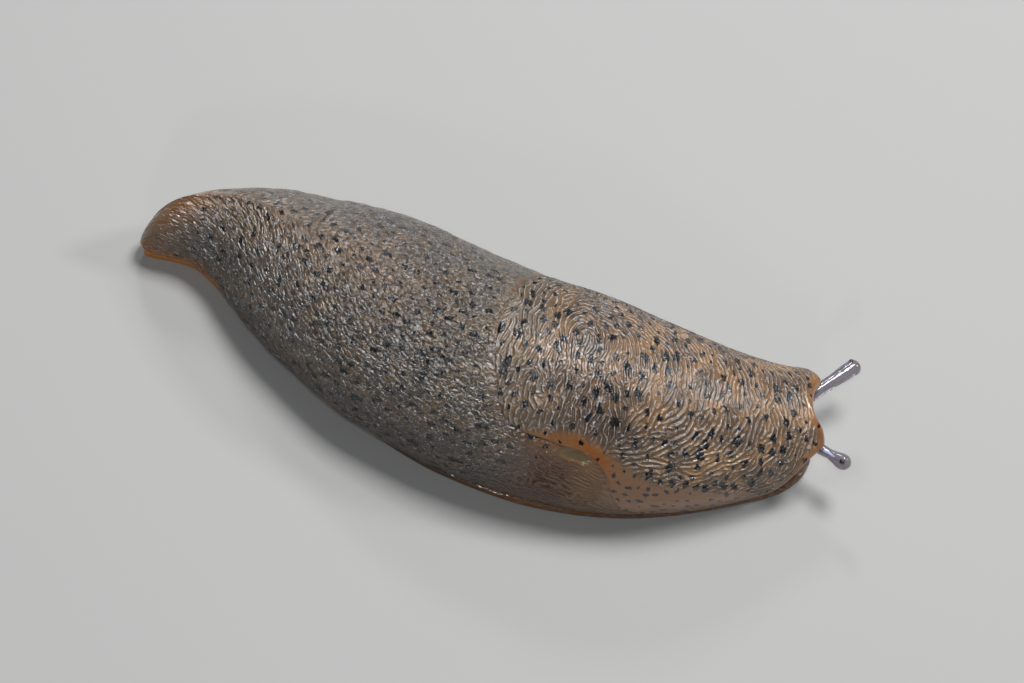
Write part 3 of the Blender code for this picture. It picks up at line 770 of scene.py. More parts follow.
@dataclass(frozen=True)
class BodyFinish(WetSkin):
    """Grey-brown skin of small flat tubercles with black specks between them, and an amber end and edge. Its
    grooves and low flanks carry painted shade, and pale threads on the tubercles are painted highlights.
    """

    # Painted shade: dark colour laid in the grooves between tubercles and low on the flanks.
    painted_shade: tuple = tint(46, 36, 27)
    taupe: tuple = tint(92, 76, 58)
    grey: tuple = tint(74, 65, 58)
    # Painted highlight: pale colour laid on the winding threads.
    crest: tuple = tint(184, 185, 186)
    rosy: tuple = tint(122, 98, 76)
    amber: tuple = tint(180, 108, 20)
    olive: tuple = tint(104, 88, 58)
    # Dark brown of the flank below the pore: partly the skin's own brown, partly painted shade; also laid as
    # painted shade along the mantle's edge.
    flank: tuple = tint(78, 40, 10)
    ochre: tuple = tint(112, 78, 46)
    height: float = 0.00034
    tubercle: float = 0.80
    groove: float = 0.27
    warp: tuple = (0.5, 0.4)
    cell_warp: tuple = (1.1, 0.8)
    thread: tuple = (0.5, 0.04, 0.7)
    island: Lumps = Lumps(0.52, 0.6)
    wrinkle: Lumps = Lumps(0.3)
    fine: Lumps = Lumps(0.25, 3.0, 0.6)
    patch: Lumps = Lumps(3.0, 3.0, 0.55)
    swell: Lumps = Lumps(0.7, 2.0)
    island_edge: tuple = (0.32, 0.66)
    patch_edge: tuple = (0.38, 0.66)
    furrow_edge: tuple = (0.05, 0.6)
    island_height: float = 0.6
    cell_height: float = 0.5
    top_height: float = 0.6
    wrinkle_height: float = 0.6
    swell_height: float = 0.5
    thread_height: float = 0.22
    fine_height: float = 0.12
    line_height: float = 0.3
    bare_flatness: float = 0.9
    # Share of painted shade in the grooves.
    groove_shade_share: float = 0.75
    # Share of painted highlight on the threads.
    thread_glint_paint: float = 0.65
    # Share of painted shade low on the flanks.
    low_shade_share: float = 0.65
    ink_in_furrows: float = 0.2

    def make(self) -> bpy.types.Material:
        """Build the material."""
        material, graph, shader = self.start()
        at = self.chart(graph)
        grain = self.chart(graph, GRAIN_MAP)
        bare = graph.attribute("bare")
        warped = self.ragged(graph, grain, *self.warp)
        cells = self.cells(graph, self.ragged(graph, warped, *self.cell_warp), self.tubercle, self.groove)
        islands = self.noise(graph, warped, self.island).step(*self.island_edge)
        tops = (islands * self.island_height + cells * self.cell_height).smaller(1.0)
        threads = self.threads(graph, warped, *self.thread)
        wrinkles, swell = (self.noise(graph, grain, lumps) - 0.5 for lumps in (self.wrinkle, self.swell))
        fine, patchy = (self.noise(graph, at, lumps) for lumps in (self.fine, self.patch))
        uneven = self.top_height + self.wrinkle_height * wrinkles + self.swell_height * swell
        folds = tops * uneven + threads * self.thread_height + fine * self.fine_height
        height = folds * (1 - bare * self.bare_flatness) + graph.attribute("relief") * self.line_height
        # Painted shade darkens the grooves between the tubercles.
        groove_shade = (1 - tops.step(*self.furrow_edge)) * self.groove_shade_share * (1 - bare)
        # Painted highlights on the threads and painted shade in the grooves and low on the flanks are laid
        # into the colour.
        colour = graph.layers(
            graph.mix(patchy.step(*self.patch_edge), self.grey, self.taupe), ("rosy", self.rosy),
            (groove_shade, self.painted_shade), (threads * self.thread_glint_paint * (1 - bare), self.crest),
            ("flank", self.flank), ("ochre", self.ochre), ("olive", self.olive), ("amber", self.amber),
            # Painted shade: the skin darkened towards the bottom of the flanks.
            (graph.attribute("low") * self.low_shade_share, self.painted_shade),
            (self.ink(graph, at, (0.5 - tops) * self.ink_in_furrows), self.black))
        self.complete(graph, shader, colour, patchy, height)
        return material


@dataclass(frozen=True)
class MantleFinish(WetSkin):
    """Golden tan skin with fine wavy ridges, a darker rear flank, an amber rim and black spots. Its grooves
    carry painted shade and its ridge crests pale lines painted as highlights.
    """

    # Painted shade: darker colour laid in the grooves between ridges.
    painted_shade: tuple = tint(84, 58, 34)
    tan: tuple = tint(138, 104, 68)
    brown: tuple = tint(92, 73, 54)
    # Painted highlight: pale colour laid along the ridge crests.
    crest: tuple = tint(200, 198, 198)
    dark: tuple = tint(50, 39, 30)
    rim: tuple = tint(136, 76, 20)
    ochre: tuple = tint(128, 86, 50)
    edge: tuple = tint(100, 88, 72)
    height: float = 0.00014
    torn: Lumps = Lumps(0.22, 2.0, 0.6)
    crest_wobble: Lumps = Lumps(0.42)
    side_wobble: Lumps = Lumps(0.38)
    fine: Lumps = Lumps(0.22, 3.0, 0.6)
    breaks: Lumps = Lumps(0.55, 2.0)
    patch: Lumps = Lumps(3.5, 3.0, 0.55)
    wobble: float = 2.6
    wave_floor: float = 0.01
    wave_power: float = 1.6
    break_edge: tuple = (0.32, 0.62)
    patch_edge: tuple = (0.4, 0.66)
    furrow_edge: tuple = (0.0, 0.5)
    # Edge and least share of the painted highlight lines on the crests.
    line_edge: tuple = (0.8, 0.99)
    line_least: float = 0.25
    fold_least: float = 0.45
    fine_height: float = 0.3
    smooth_flatness: float = 0.92
    dark_least: float = 0.55
    dark_patches: float = 0.7
    # Share of painted shade in the grooves.
    groove_shade_share: float = 0.4
    # Share of painted highlight on the crests.
    crest_glint_paint: float = 0.45
    ink_in_furrows: float = 0.16

    def make(self) -> bpy.types.Material:
        """Build the material."""
        material, graph, shader = self.start()
        at = self.chart(graph)
        smooth = graph.attribute("smooth")
        wobbles = ("fold_crest", self.crest_wobble), ("fold_flank", self.side_wobble)
        crest, side = (graph.attribute(name) + (self.noise(graph, at, lumps) - 0.5) * self.wobble
                       for name, lumps in wobbles)
        strength = (crest * crest + side * side + self.wave_floor) ** 0.5
        wave = (crest / strength * 0.5 + 0.5) ** self.wave_power
        fine, patchy = (self.noise(graph, at, lumps) for lumps in (self.fine, self.patch))
        broken = self.noise(graph, at, self.breaks).step(*self.break_edge)
        # Pale crest lines, a painted highlight along the ridges.
        line = wave.step(*self.line_edge) * (self.line_least + (1 - self.line_least) * broken)
        folds = wave * (self.fold_least + (1 - self.fold_least) * broken) + fine * self.fine_height
        height = folds * (1 - smooth * self.smooth_flatness)
        dark = graph.attribute("dark") * (self.dark_least + patchy * self.dark_patches).held()
        colour = graph.layers(
            graph.mix(patchy.step(*self.patch_edge), self.brown, self.tan), (dark, self.dark),
            ("rear", self.edge),
            # Painted shade in the grooves between ridges.
            ((1 - wave.step(*self.furrow_edge)) * self.groove_shade_share * (1 - smooth), self.painted_shade),
            # Painted highlight along the crests.
            (line * self.crest_glint_paint * (1 - smooth), self.crest), ("ochre", self.ochre), ("amber", self.rim),
            (self.ink(graph, at, (0.5 - wave) * self.ink_in_furrows), self.black))
        self.complete(graph, shader, colour, patchy, height)
        return material


@dataclass(frozen=True)
class PlainFinish(WetSkin):
    """One soft colour with a little mottling, and clear flesh where clearness is above 0."""

    colour: tuple = tint(200, 200, 200)
    deeper: tuple = tint(180, 180, 180)
    lump: Lumps = Lumps(1 / 1.2, 3.0)
    mottled: tuple = (0.35, 0.7)
    mottle_share: float = 1.0
    clearness: float = 0.0
    refraction: float = 1.36

    def make(self) -> bpy.types.Material:
        """Build the material."""
        material, graph, shader = self.start()
        mottle = graph.take("ShaderNodeTexNoise", {}, {
            "Vector": graph.take("ShaderNodeTexCoord", output="Object"),
            "Scale": 1 / (self.lump.size * MM), "Detail": self.lump.detail}, "Fac")
        share = mottle.step(*self.mottled) * self.mottle_share
        graph.plug(shader, {"Base Color": graph.mix(share, self.colour, self.deeper)})
        if self.clearness:
            shader.inputs["Transmission Weight"].default_value = self.clearness
            shader.inputs["IOR"].default_value = self.refraction
            graph.plug(shader, {"Normal": self.bump(graph, mottle)})
        return material


def show(name: str, data: bpy.types.ID) -> bpy.types.Object:
    """A new object in the scene for a mesh, light or camera."""
    thing = bpy.data.objects.new(name, data)
    bpy.context.scene.collection.objects.link(thing)
    return thing


class SkinMesh:
    """Points, faces and stored numbers of a skin, gathered before it becomes one mesh."""

    seam_strip = 0.2
    sheet_gap = 1.0

    def __init__(self) -> None:
        self.points: list[Array] = []
        self.charts: list[Array] = []
        self.count = 0
        self.faces: list[tuple[int, ...]] = []
        self.sheets: list[int] = []

    def add_points(self, points: Array, chart: Array) -> Array:
        """Add points with their chart places and shares round the ring, and return their numbers."""
        layout = points.shape[:-1]
        size = int(np.prod(layout))
        self.points.append(points.reshape(size, 3))
        self.charts.append(chart.reshape(size, 3))
        numbers = np.arange(self.count, self.count + size).reshape(layout)
        self.count += size
        return numbers

    def add_grid(self, numbers: Array, closed: bool = False, flip: bool = False, sheet: int = 0) -> None:
        """Join a grid of point numbers by quads, round the back too where it is closed."""
        if closed:
            numbers = np.concatenate([numbers, numbers[:, :1]], axis=1)
        quads = np.stack([numbers[:-1, :-1], numbers[:-1, 1:], numbers[1:, 1:], numbers[1:, :-1]], axis=-1)
        quads = quads.reshape(-1, 4)
        if flip:
            quads = quads[:, ::-1]
        self.faces.extend(map(tuple, quads.tolist()))
        self.sheets.extend([sheet] * len(quads))

    def add_zip(self, first: Array, first_at: Array, second: Array, second_at: Array,
                flip: bool = False, sheet: int = 0) -> None:
        """Join two lines of point numbers by triangles, whatever their counts.

        Args:
            first: Numbers along one line.
            first_at: Place of each along the seam, rising.
            second: Numbers along the other line.
            second_at: Place of each along the seam, rising.
            flip: Turn the faces round.
            sheet: Which sheet of the bake map they lie on.
        """
        i = j = 0
        while i < len(first) - 1 or j < len(second) - 1:
            step_first = j == len(second) - 1 or (i < len(first) - 1 and first_at[i + 1] <= second_at[j + 1])
            if step_first:
                face = (int(first[i]), int(first[i + 1]), int(second[j]))
                i += 1
            else:
                face = (int(first[i]), int(second[j + 1]), int(second[j]))
                j += 1
            self.faces.append(face[::-1] if flip else face)
            self.sheets.append(sheet)

    def add_fan(self, ring: Array, middle: int, flip: bool = False) -> None:
        """Close a ring of point numbers round a middle point."""
        for a, b in zip(ring, np.roll(ring, -1)):
            self.faces.append((int(middle), int(b), int(a)) if flip else (int(middle), int(a), int(b)))
            self.sheets.append(0)

    def arrays(self) -> tuple[Array, Array]:
        """All points and all chart places."""
        return np.concatenate(self.points), np.concatenate(self.charts)

    def corners(self) -> Array:
        """The faces' point numbers, four to a face, a triangle's last one twice."""
        return np.array([face if len(face) == 4 else (*face, face[-1]) for face in self.faces])

    def face_outwards(self, points: Array) -> None:
        """Turn all faces round if they enclose their volume from within."""
        a, b, c, d = (points[numbers] for numbers in self.corners().T)
        volume = (a * (np.cross(b, c) + np.cross(c, d))).sum()
        if volume < 0:
            self.faces = [face[::-1] for face in self.faces]

    def normals(self, points: Array) -> Array:
        """Unit normals of the points."""
        corners = self.corners()
        across = points[corners[:, 2]] - points[corners[:, 0]]
        along = points[corners[:, 3]] - points[corners[:, 1]]
        facing = np.cross(across, along)
        total = np.zeros_like(points)
        for k in range(4):
            np.add.at(total, corners[:, k], facing)
        return total / np.maximum(np.linalg.norm(total, axis=1), TINY)[:, None]

    def to_object(self, name: str, points: Array, numbers: dict[str, Array], chart: Array,
                  material: bpy.types.Material, grain: Callable | None = None) -> bpy.types.Object:
        """Make the mesh.

        Args:
            name: The piece's name.
            points: Final points in millimetres.
            numbers: Numbers to store on the points, by name.
            chart: Place of each point on the chart, and its share round the ring.
            material: The finish.
            grain: Turns chart places into the coordinates that the skin's grain is drawn on.

        Returns:
            The piece.
        """
        mesh = bpy.data.meshes.new(name)
        mesh.from_pydata((points * MM).tolist(), [], self.faces)
        mesh.materials.append(material)
        for key, values in numbers.items():
            layer = mesh.attributes.new(key, "FLOAT", "POINT")
            layer.data.foreach_set("value", np.ascontiguousarray(values, np.float32))
        corners = np.zeros(len(mesh.loops), np.int32)
        mesh.loops.foreach_get("vertex_index", corners)
        sizes = np.zeros(len(mesh.polygons), np.int32)
        mesh.polygons.foreach_get("loop_total", sizes)
        face_of = np.repeat(np.arange(len(sizes)), sizes)
        flat = chart[corners][:, :2]
        share = chart[corners][:, 2]
        top_share = np.full(len(sizes), -np.inf)
        np.maximum.at(top_share, face_of, share)
        top = np.full(len(sizes), -np.inf)
        np.maximum.at(top, face_of, flat[:, 1])
        past_cut = top_share[face_of] - share > 0.5
        flat[past_cut, 1] = top[face_of][past_cut] + self.seam_strip
        apart = np.array([flat[:, 0].max() - flat[:, 0].min() + self.sheet_gap, 0])
        spread = flat + np.array(self.sheets)[face_of][:, None] * apart
        low, high = spread.min(axis=0), spread.max(axis=0)
        maps = [(CHART_MAP, flat), (BAKE_MAP, (spread - low) / (high - low).max())]
        if grain is not None:
            middle = np.zeros(len(sizes))
            np.add.at(middle, face_of, flat[:, 1])
            maps.append((GRAIN_MAP, grain(flat[:, 0], flat[:, 1], np.sign(middle)[face_of])))
        for layer_name, values in maps:
            layer = mesh.uv_layers.new(name=layer_name)
            layer.data.foreach_set("uv", np.ascontiguousarray(values, np.float32).ravel())
        mesh.uv_layers.active = mesh.uv_layers[BAKE_MAP]
        mesh.validate()
        mesh.shade_smooth()
        return show(name, mesh)


def declare(piece: bpy.types.Object, slot: str, *nodes: str) -> None:
    """Tell the frame what a piece rides on and stands for."""
    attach(piece, "root")
    if nodes:
        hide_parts(*nodes)
    LOG.info("%s: %d faces", piece.name, len(piece.data.polygons))


@dataclass
class BodySkin:
    """One closed skin over the foot, tail, back, neck and head, with the breathing pore in its right side."""

    form: BodyForm
    outline: MantleOutline
    finish: BodyFinish
    lengths: tuple = ((-1.18, 9.0, 74, 200, 1.5), (9.12, 40.9, 206, 292, 1.0), (41.05, 52.0, 66, 170, 1.0),
                      (52.3, 72.0, 56, 96, 1.0), (72.2, 75.0, 18, 110, 1.0), (75.06, 77.36, 40, 110, 1.0))
    covered: float = 0.12
    groove: float = 0.10
    tuck: float = 0.5
    cover_depth: float = 0.9
    lip: tuple = ((-0.45, 1.3), (-0.38, 1.12), (-0.2, 1.0), (-0.06, 0.78), (0.0, 0.5), (-0.03, 0.27),
                  (-0.14, 0.1), (-0.34, 0.01), (-0.6, 0.0))
    sole_columns: int = 9
    foot_starts: float = -0.75
    foot_rounds: float = 0.8
    head_starts: float = 60.0
    head_full: float = 65.5
    head_side: float = -0.2
    head_middle: float = 0.45
    head_low_share: float = 0.86
    mouth_starts: float = 75.4
    mouth_full: float = 76.2
    mouth_depth: float = 0.75
    mouth_width: float = 0.3
    head_half_width: Curve = Curve(((60, 5.4), (62.75, 5.2), (67.5, 4.7), (72, 4.65), (74.4, 4.2),
                                    (75.2, 3.7), (75.7, 3.35), (76.3, 3.2), (76.9, 2.5), (77.2, 1.8),
                                    (77.4, 1.2)))
    head_top: Curve = Curve(((60, 9.0), (62.75, 8.2), (67.5, 7.0), (73, 7.0), (74.3, 6.75), (74.9, 6.1),
                             (75.15, 5.2), (75.4, 4.3), (75.8, 3.95), (76.4, 3.75), (76.9, 3.1), (77.2, 2.2),
                             (77.4, 1.55)))
    pore_at: float = 48.6
    pore_angle: float = math.radians(58.5)
    pore_half_length: float = 1.95
    pore_half_height: float = 0.8
    swell: float = 0.03
    relief: Relief = field(default_factory=lambda: Relief((-2.5, -31.0), (79.0, 31.0)))
    groove_band: Ramp = Ramp(-0.25, 0.1)
    tuck_band: Ramp = Ramp(0.25, 1.0)
    cover_band: Ramp = Ramp(0.6, 3.0)
    covered_band: Ramp = Ramp(1.0, 2.5)
    column_steps: int = 481
    least_reach: float = 0.02
    slant: float = math.radians(38)
    slant_back: Ramp = Ramp(30.0, 12.0)
    grain_line: tuple = (-3.0, 80.0, 0.25)
    grain_length: float = 1.2
    grain_tail_more: float = 0.5
    grain_tail: Ramp = Ramp(24.0, 8.0)
    grain_across: float = 1.12
    specks: tuple = (31, 12000)
    speck_stretch: float = 1.35
    speck_gap: float = 1.22
    speck_size: float = 0.29
    speck_tail_less: float = 0.07
    speck_tail: Ramp = Ramp(20.0, 6.0)
    speck_hidden: float = 0.4
    speck_from: float = 3.0
    speck_arc: float = 26.0
    speck_rise: Ramp = Ramp(1.8, 3.0)
    speck_row: Area = Area(s=Ramp(49.0, 45.0), arc=Bell(-12.0, 2.2))
    pore_upper: Ramp = Ramp(0.2, -0.4)
    pore_ahead: Ramp = Ramp(-0.6, 0.4)
    pore_tilt: float = 0.25
    pore_rim: Bell = Bell(1.0, 0.25)
    pore_crease: Bell = Bell(0.85, 0.1)
    pore_bowl: Ramp = Ramp(0.75, 1.0)
    pore_lift: float = 0.12
    pore_depth: float = 0.14
    foot_band: Ramp = Ramp(1.45, 1.1)
    mantle_band: Ramp = Ramp(-0.1, 0.3)
    bare_band: Ramp = Ramp(41.0, 46.5)
    bare_lean: float = 0.12
    bare_middle: float = 12.0
    bare_flank_share: float = 0.9
    bare_tail_share: float = 0.15
    bare_margin_share: float = 0.6
    tail_band: Ramp = Ramp(0.5, 6.5)
    tail_lean: float = 0.35
    margin: Area = Area(s=Ramp(33.0, 40.0), third=Ramp(1.6, 0.3))
    waver: tuple = (1.6, 11)
    line_gap: float = 0.45
    line_waver: float = 0.35
    edge_amber: tuple = ((0, 1.0), (9, 0.95), (15, 0.1), (38, 0.1), (43, 0.6), (51, 0.6), (56, 0.3),
                         (77, 0.4))
    end_band: Ramp = Ramp(16.0, 6.0)
    left_band: Ramp = Ramp(-2.0, 2.0)
    amber_top: float = 2.6
    amber_end_rise: float = 2.2
    amber_full: float = 1.0
    amber_share: float = 0.75
    amber_left_less: float = 0.7
    tip_band: Ramp = Ramp(5.0, 1.0)
    tip_least: float = 0.15
    tip_left_less: float = 0.9
    lip_amber: float = 0.7
    # Shares of the flank's dark brown: partly painted shade below the pore, and painted shade along the
    # mantle's edge.
    flank_share: float = 0.9
    margin_shade_share: float = 0.35
    flank_ochre: tuple = (Area(0.7, s=Ramp(53.5, 50.0), arc=Ramp(-14.0, -12.0)), Area(s=Ramp(47.5, 50.5)),
                          Area(0.6, arc=Ramp(-19.0, -22.0)))
    tail_ochre: float = 0.7
    neck_ochre: Ramp = Ramp(56.0, 62.0)
    rosy: Area = Area(0.6, s=Ramp(34.0, 22.0), arc=Bell(-1.0, 3.5))
    olive: Area = Area(0.2, s=Ramp(28.0, 38.0), arc=Bell(0.0, 16.0))
    # Painted shade: where the skin is darkened towards the bottom of the flanks.
    low: Area = Area(s=Ramp(6.0, 14.0), third=Ramp(7.0, 1.5))

    def flank(self, s: Array, angle: Array) -> tuple[Array, Array]:
        """Side and height of the skin above the foot, lowered under the mantle and drawn in to the head."""
        inside = self.outline.distance(s, self.form.arc(s, angle))
        dip = self.groove * self.groove_band(inside) + self.tuck * self.tuck_band(inside)
        dip = dip + self.cover_depth * self.cover_band(inside)
        side, z = self.form.surface(s, angle, -dip)
        width, top = self.head_half_width(s), self.head_top(s)
        turn = np.abs(angle)
        low = np.clip((turn - QUARTER) / (self.form.low_edge - QUARTER), 0, 1) * QUARTER
        middle = self.form.underside + (top - self.form.underside) * self.head_middle
        upper = turn <= QUARTER
        low_side = self.head_low_share + (1 - self.head_low_share) * np.cos(low)
        head_side = self.head_side + np.sign(angle) * np.where(upper, np.sin(turn), low_side) * width
        head_z = np.where(upper, middle + (top - middle) * np.cos(turn),
                          middle - (middle - self.form.underside) * np.sin(low))
        slit = self.mouth_depth * smoothstep(self.mouth_starts, self.mouth_full, s)
        slit = slit * bump_at(head_side, self.head_side, self.mouth_width) * (turn < QUARTER)
        head_z = head_z - (head_z - self.form.underside) * slit
        head = smoothstep(self.head_starts, self.head_full, s)
        return side + (head_side - side) * head, z + (head_z - z) * head

    def columns(self, s: float, count: int) -> Array:
        """Angles of a ring's points, close together where the skin shows."""
        angles = np.linspace(-self.form.low_edge, self.form.low_edge, self.column_steps)
        arc = self.form.arc(np.full_like(angles, s), angles)
        shown = 1 - (1 - self.covered) * self.covered_band(self.outline.distance(np.full_like(arc, s), arc))
        steps = np.diff(arc) * (shown[1:] + shown[:-1]) / 2
        along = np.concatenate([[0], np.cumsum(steps)])
        return np.interp(np.linspace(0, along[-1], count), along, angles)

    def ring(self, s: float, count: int) -> tuple[Array, Array]:
        """Points of one ring and their chart places, from the middle of the sole round the right side."""
        flank_count = count - 2 * len(self.lip) - self.sole_columns
        angles = self.columns(s, flank_count)
        along = np.full(flank_count, s)
        side, z = self.flank(along, angles)
        here = rounded((s - self.foot_starts) / self.foot_rounds)
        lip = np.array(self.lip)
        foot = float(self.form.foot(s))
        parts = []
        for hand in (-1, 1):
            edge = hand * side[0 if hand < 0 else -1]
            reach = np.clip(foot + lip[:, 0], self.least_reach, None)
            lip_side = hand * (edge + (reach - edge) * here)
            lip_z = self.form.underside - (self.form.underside - lip[:, 1]) * here
            parts.append(np.stack([lip_side, lip_z], axis=-1))
        right_inner, left_inner = parts[0][-1], parts[1][-1]
        across = np.linspace(0, 1, self.sole_columns + 2)[1:-1, None]
        sole = left_inner + (right_inner - left_inner) * across
        half = self.sole_columns // 2
        profile = np.concatenate([sole[half:], parts[0][::-1], np.stack([side, z], axis=-1), parts[1],
                                  sole[:half]])
        steps = np.linalg.norm(np.diff(profile, axis=0), axis=1)
        arc = np.concatenate([[0], np.cumsum(steps)])
        first = self.sole_columns - half + len(self.lip)
        arc_flank = self.form.arc(along, angles)
        arc = arc - arc[first] + arc_flank[0]
        arc[first + flank_count:] += arc_flank[-1] - arc[first + flank_count - 1]
        arc[first:first + flank_count] = arc_flank
        points = self.form.place(np.full(len(profile), s), profile[:, 0], profile[:, 1])
        share = np.arange(count) / count
        return points, np.stack([np.full(count, s), arc, share], axis=-1)

    def grain(self, s: Array, arc: Array, side: Array) -> Array:
        """Coordinates on which the tubercles are round: drawn out along the back and aslant on the tail."""
        line = np.arange(*self.grain_line)
        step = self.grain_line[-1]
        slope = np.tan(self.slant * self.slant_back(line))
        drift = np.concatenate([np.cumsum(slope[::-1])[::-1][1:], [0]]) * step
        length = np.cumsum(1 / (self.grain_length + self.grain_tail_more * self.grain_tail(line))) * step
        across = (arc + side * np.interp(s, line, drift)) * self.grain_across
        return np.stack([np.interp(s, line, length), across], axis=-1)

    def throw_spots(self) -> Array:
        """A chart of the black specks."""
        def gap(s: Array, arc: Array) -> Array:
            hidden = self.outline.distance(s, arc) > self.speck_hidden
            off = hidden | (s < self.speck_from) | (np.abs(arc) > self.speck_arc)
            return np.where(off, np.inf, self.speck_gap)

        def size(s: Array, arc: Array) -> Array:
            return self.speck_size - self.speck_tail_less * self.speck_tail(s)

        def way(s: Array, arc: Array) -> Array:
            return self.slant * self.slant_back(s) * np.sign(arc)

        seed, tries = self.specks
        return Spots(self.relief, seed, tries, stretch=self.speck_stretch).throw(gap, size, way)

    def pore(self, s: Array, angle: Array) -> tuple[Array, Array, Array]:
        """Height, lip share and floor share of the breathing pore at each place."""
        along = (s - self.pore_at) / self.pore_half_length
        down = (-angle - self.pore_angle) * self.form.half_width(self.pore_at) / self.pore_half_height
        out = np.hypot(along, down)
        upper = self.pore_upper(down - self.pore_tilt * along) * self.pore_ahead(along)
        lip = self.pore_rim(out) * upper
        floor = 1 - self.pore_bowl(out)
        lift = self.pore_lift * (lip - self.pore_crease(out) * upper)
        return lift - self.pore_depth * floor, lip, floor

    def build(self) -> bpy.types.Object:
        """Build the skin."""
        skin = SkinMesh()
        last = last_arc = None
        for start, end, rows, columns, crowding in self.lengths:
            stations = start + (end - start) * np.linspace(0, 1, rows) ** crowding
            rings = [self.ring(float(s), columns) for s in stations]
            numbers = skin.add_points(np.array([r[0] for r in rings]), np.array([r[1] for r in rings]))
            skin.add_grid(numbers, closed=True)
            if last is None:
                middle = skin.add_points(rings[0][0].mean(axis=0)[None], rings[0][1].mean(axis=0)[None])
                skin.add_fan(numbers[0], int(middle[0]), flip=True)
            else:
                loops = [np.append(row, row[0]) for row in (last, numbers[0])]
                walks = [np.append(row, 2 * row[-1] - row[-2]) for row in (last_arc, rings[0][1][:, 1])]
                skin.add_zip(loops[0], walks[0], loops[1], walks[1])
            last, last_arc = numbers[-1], rings[-1][1][:, 1]
        middle = skin.add_points(rings[-1][0].mean(axis=0)[None], rings[-1][1].mean(axis=0)[None])
        skin.add_fan(last, int(middle[0]))
        points, chart = skin.arrays()
        skin.face_outwards(points)
        numbers, height = self.marks(points, chart)
        points = points + skin.normals(points) * height[:, None]
        points[:, 2] = np.maximum(points[:, 2], 0)
        return skin.to_object("body_skin", points, numbers, chart, self.finish.make(), self.grain)

    def marks(self, points: Array, chart: Array) -> tuple[dict[str, Array], Array]:
        """Numbers to store on the skin's points, and how far each point is raised."""
        s, arc, z = chart[:, 0], chart[:, 1], points[:, 2]
        angle = self.form.angle(s, arc)
        inside = self.outline.distance(s, arc)
        foot = self.foot_band(z)
        on_right = angle < 0
        pore_height, pore_lip, pore_floor = (value * on_right for value in self.pore(s, angle))
        bare_flank = self.bare_band(s - self.bare_lean * (arc + self.bare_middle)) * on_right
        bare_flank = bare_flank * self.outline.below_line(s, arc)
        tail_end = 1 - self.tail_band(s + self.tail_lean * np.abs(arc))
        margin = self.margin(s, arc, -inside)
        bare = np.maximum.reduce([self.bare_flank_share * bare_flank, foot, pore_floor,
                                  self.bare_tail_share * tail_end, self.bare_margin_share * margin])
        waver = self.relief.read(self.relief.smooth_noise(*self.waver), s, arc)
        height = self.swell * waver * (1 - bare) * (1 - self.mantle_band(inside)) + pore_height
        lines = 0.5 + 0.5 * np.sin(2 * math.pi * (arc / self.line_gap + self.line_waver * waver))
        edge_amber = np.interp(s, *np.transpose(self.edge_amber))
        near_end, on_left = self.end_band(s), self.left_band(arc)
        low = smoothstep(self.amber_top + self.amber_end_rise * near_end, self.amber_full, z)
        low = low * edge_amber * self.amber_share * (1 - self.amber_left_less * on_left * near_end)
        tip = tail_end * (self.tip_least + (1 - self.tip_least) * self.tip_band(z))
        tip = tip * (1 - self.tip_left_less * on_left)
        amber = np.maximum.reduce([foot * edge_amber, low, tip, self.lip_amber * pore_lip])
        # The flank's dark brown: partly skin colour and partly painted shade below the pore, and painted
        # shade in a band along the mantle's edge.
        flank = self.flank_share * bare_flank + self.margin_shade_share * margin * (1 - bare_flank)
        ochre = np.maximum.reduce([area(s, arc) for area in self.flank_ochre]) * bare_flank
        ochre = np.maximum.reduce([ochre, self.tail_ochre * tail_end, self.neck_ochre(s)])
        dotted = 1 - np.maximum(bare, bare_flank) * (1 - self.speck_row(s, arc))
        specks = self.relief.read(self.throw_spots(), s, arc) * dotted * self.speck_rise(z)
        # 'low' holds painted shade towards the bottom of the flanks.
        numbers = {"relief": lines * bare_flank * (1 - pore_floor), "bare": bare, "amber": amber,
                   "flank": flank, "ochre": ochre, "low": self.low(s, arc, z), "rosy": self.rosy(s, arc),
                   "olive": np.maximum(pore_floor, self.olive(s, arc)), "spots": specks}
        return {name: np.clip(values, 0, 1) for name, values in numbers.items()}, height

    def dress(self, piece: bpy.types.Object) -> None:
        """Let the skin stand for the solids of flesh."""
        declare(piece, "body_skin", "foot_sole", "foot_fringe_left", "foot_fringe_right", "tail", "back",
                "trunk", "neck", "head", "mouth_lobe_left", "mouth_lobe_right", "pore_lip", "pore_floor")


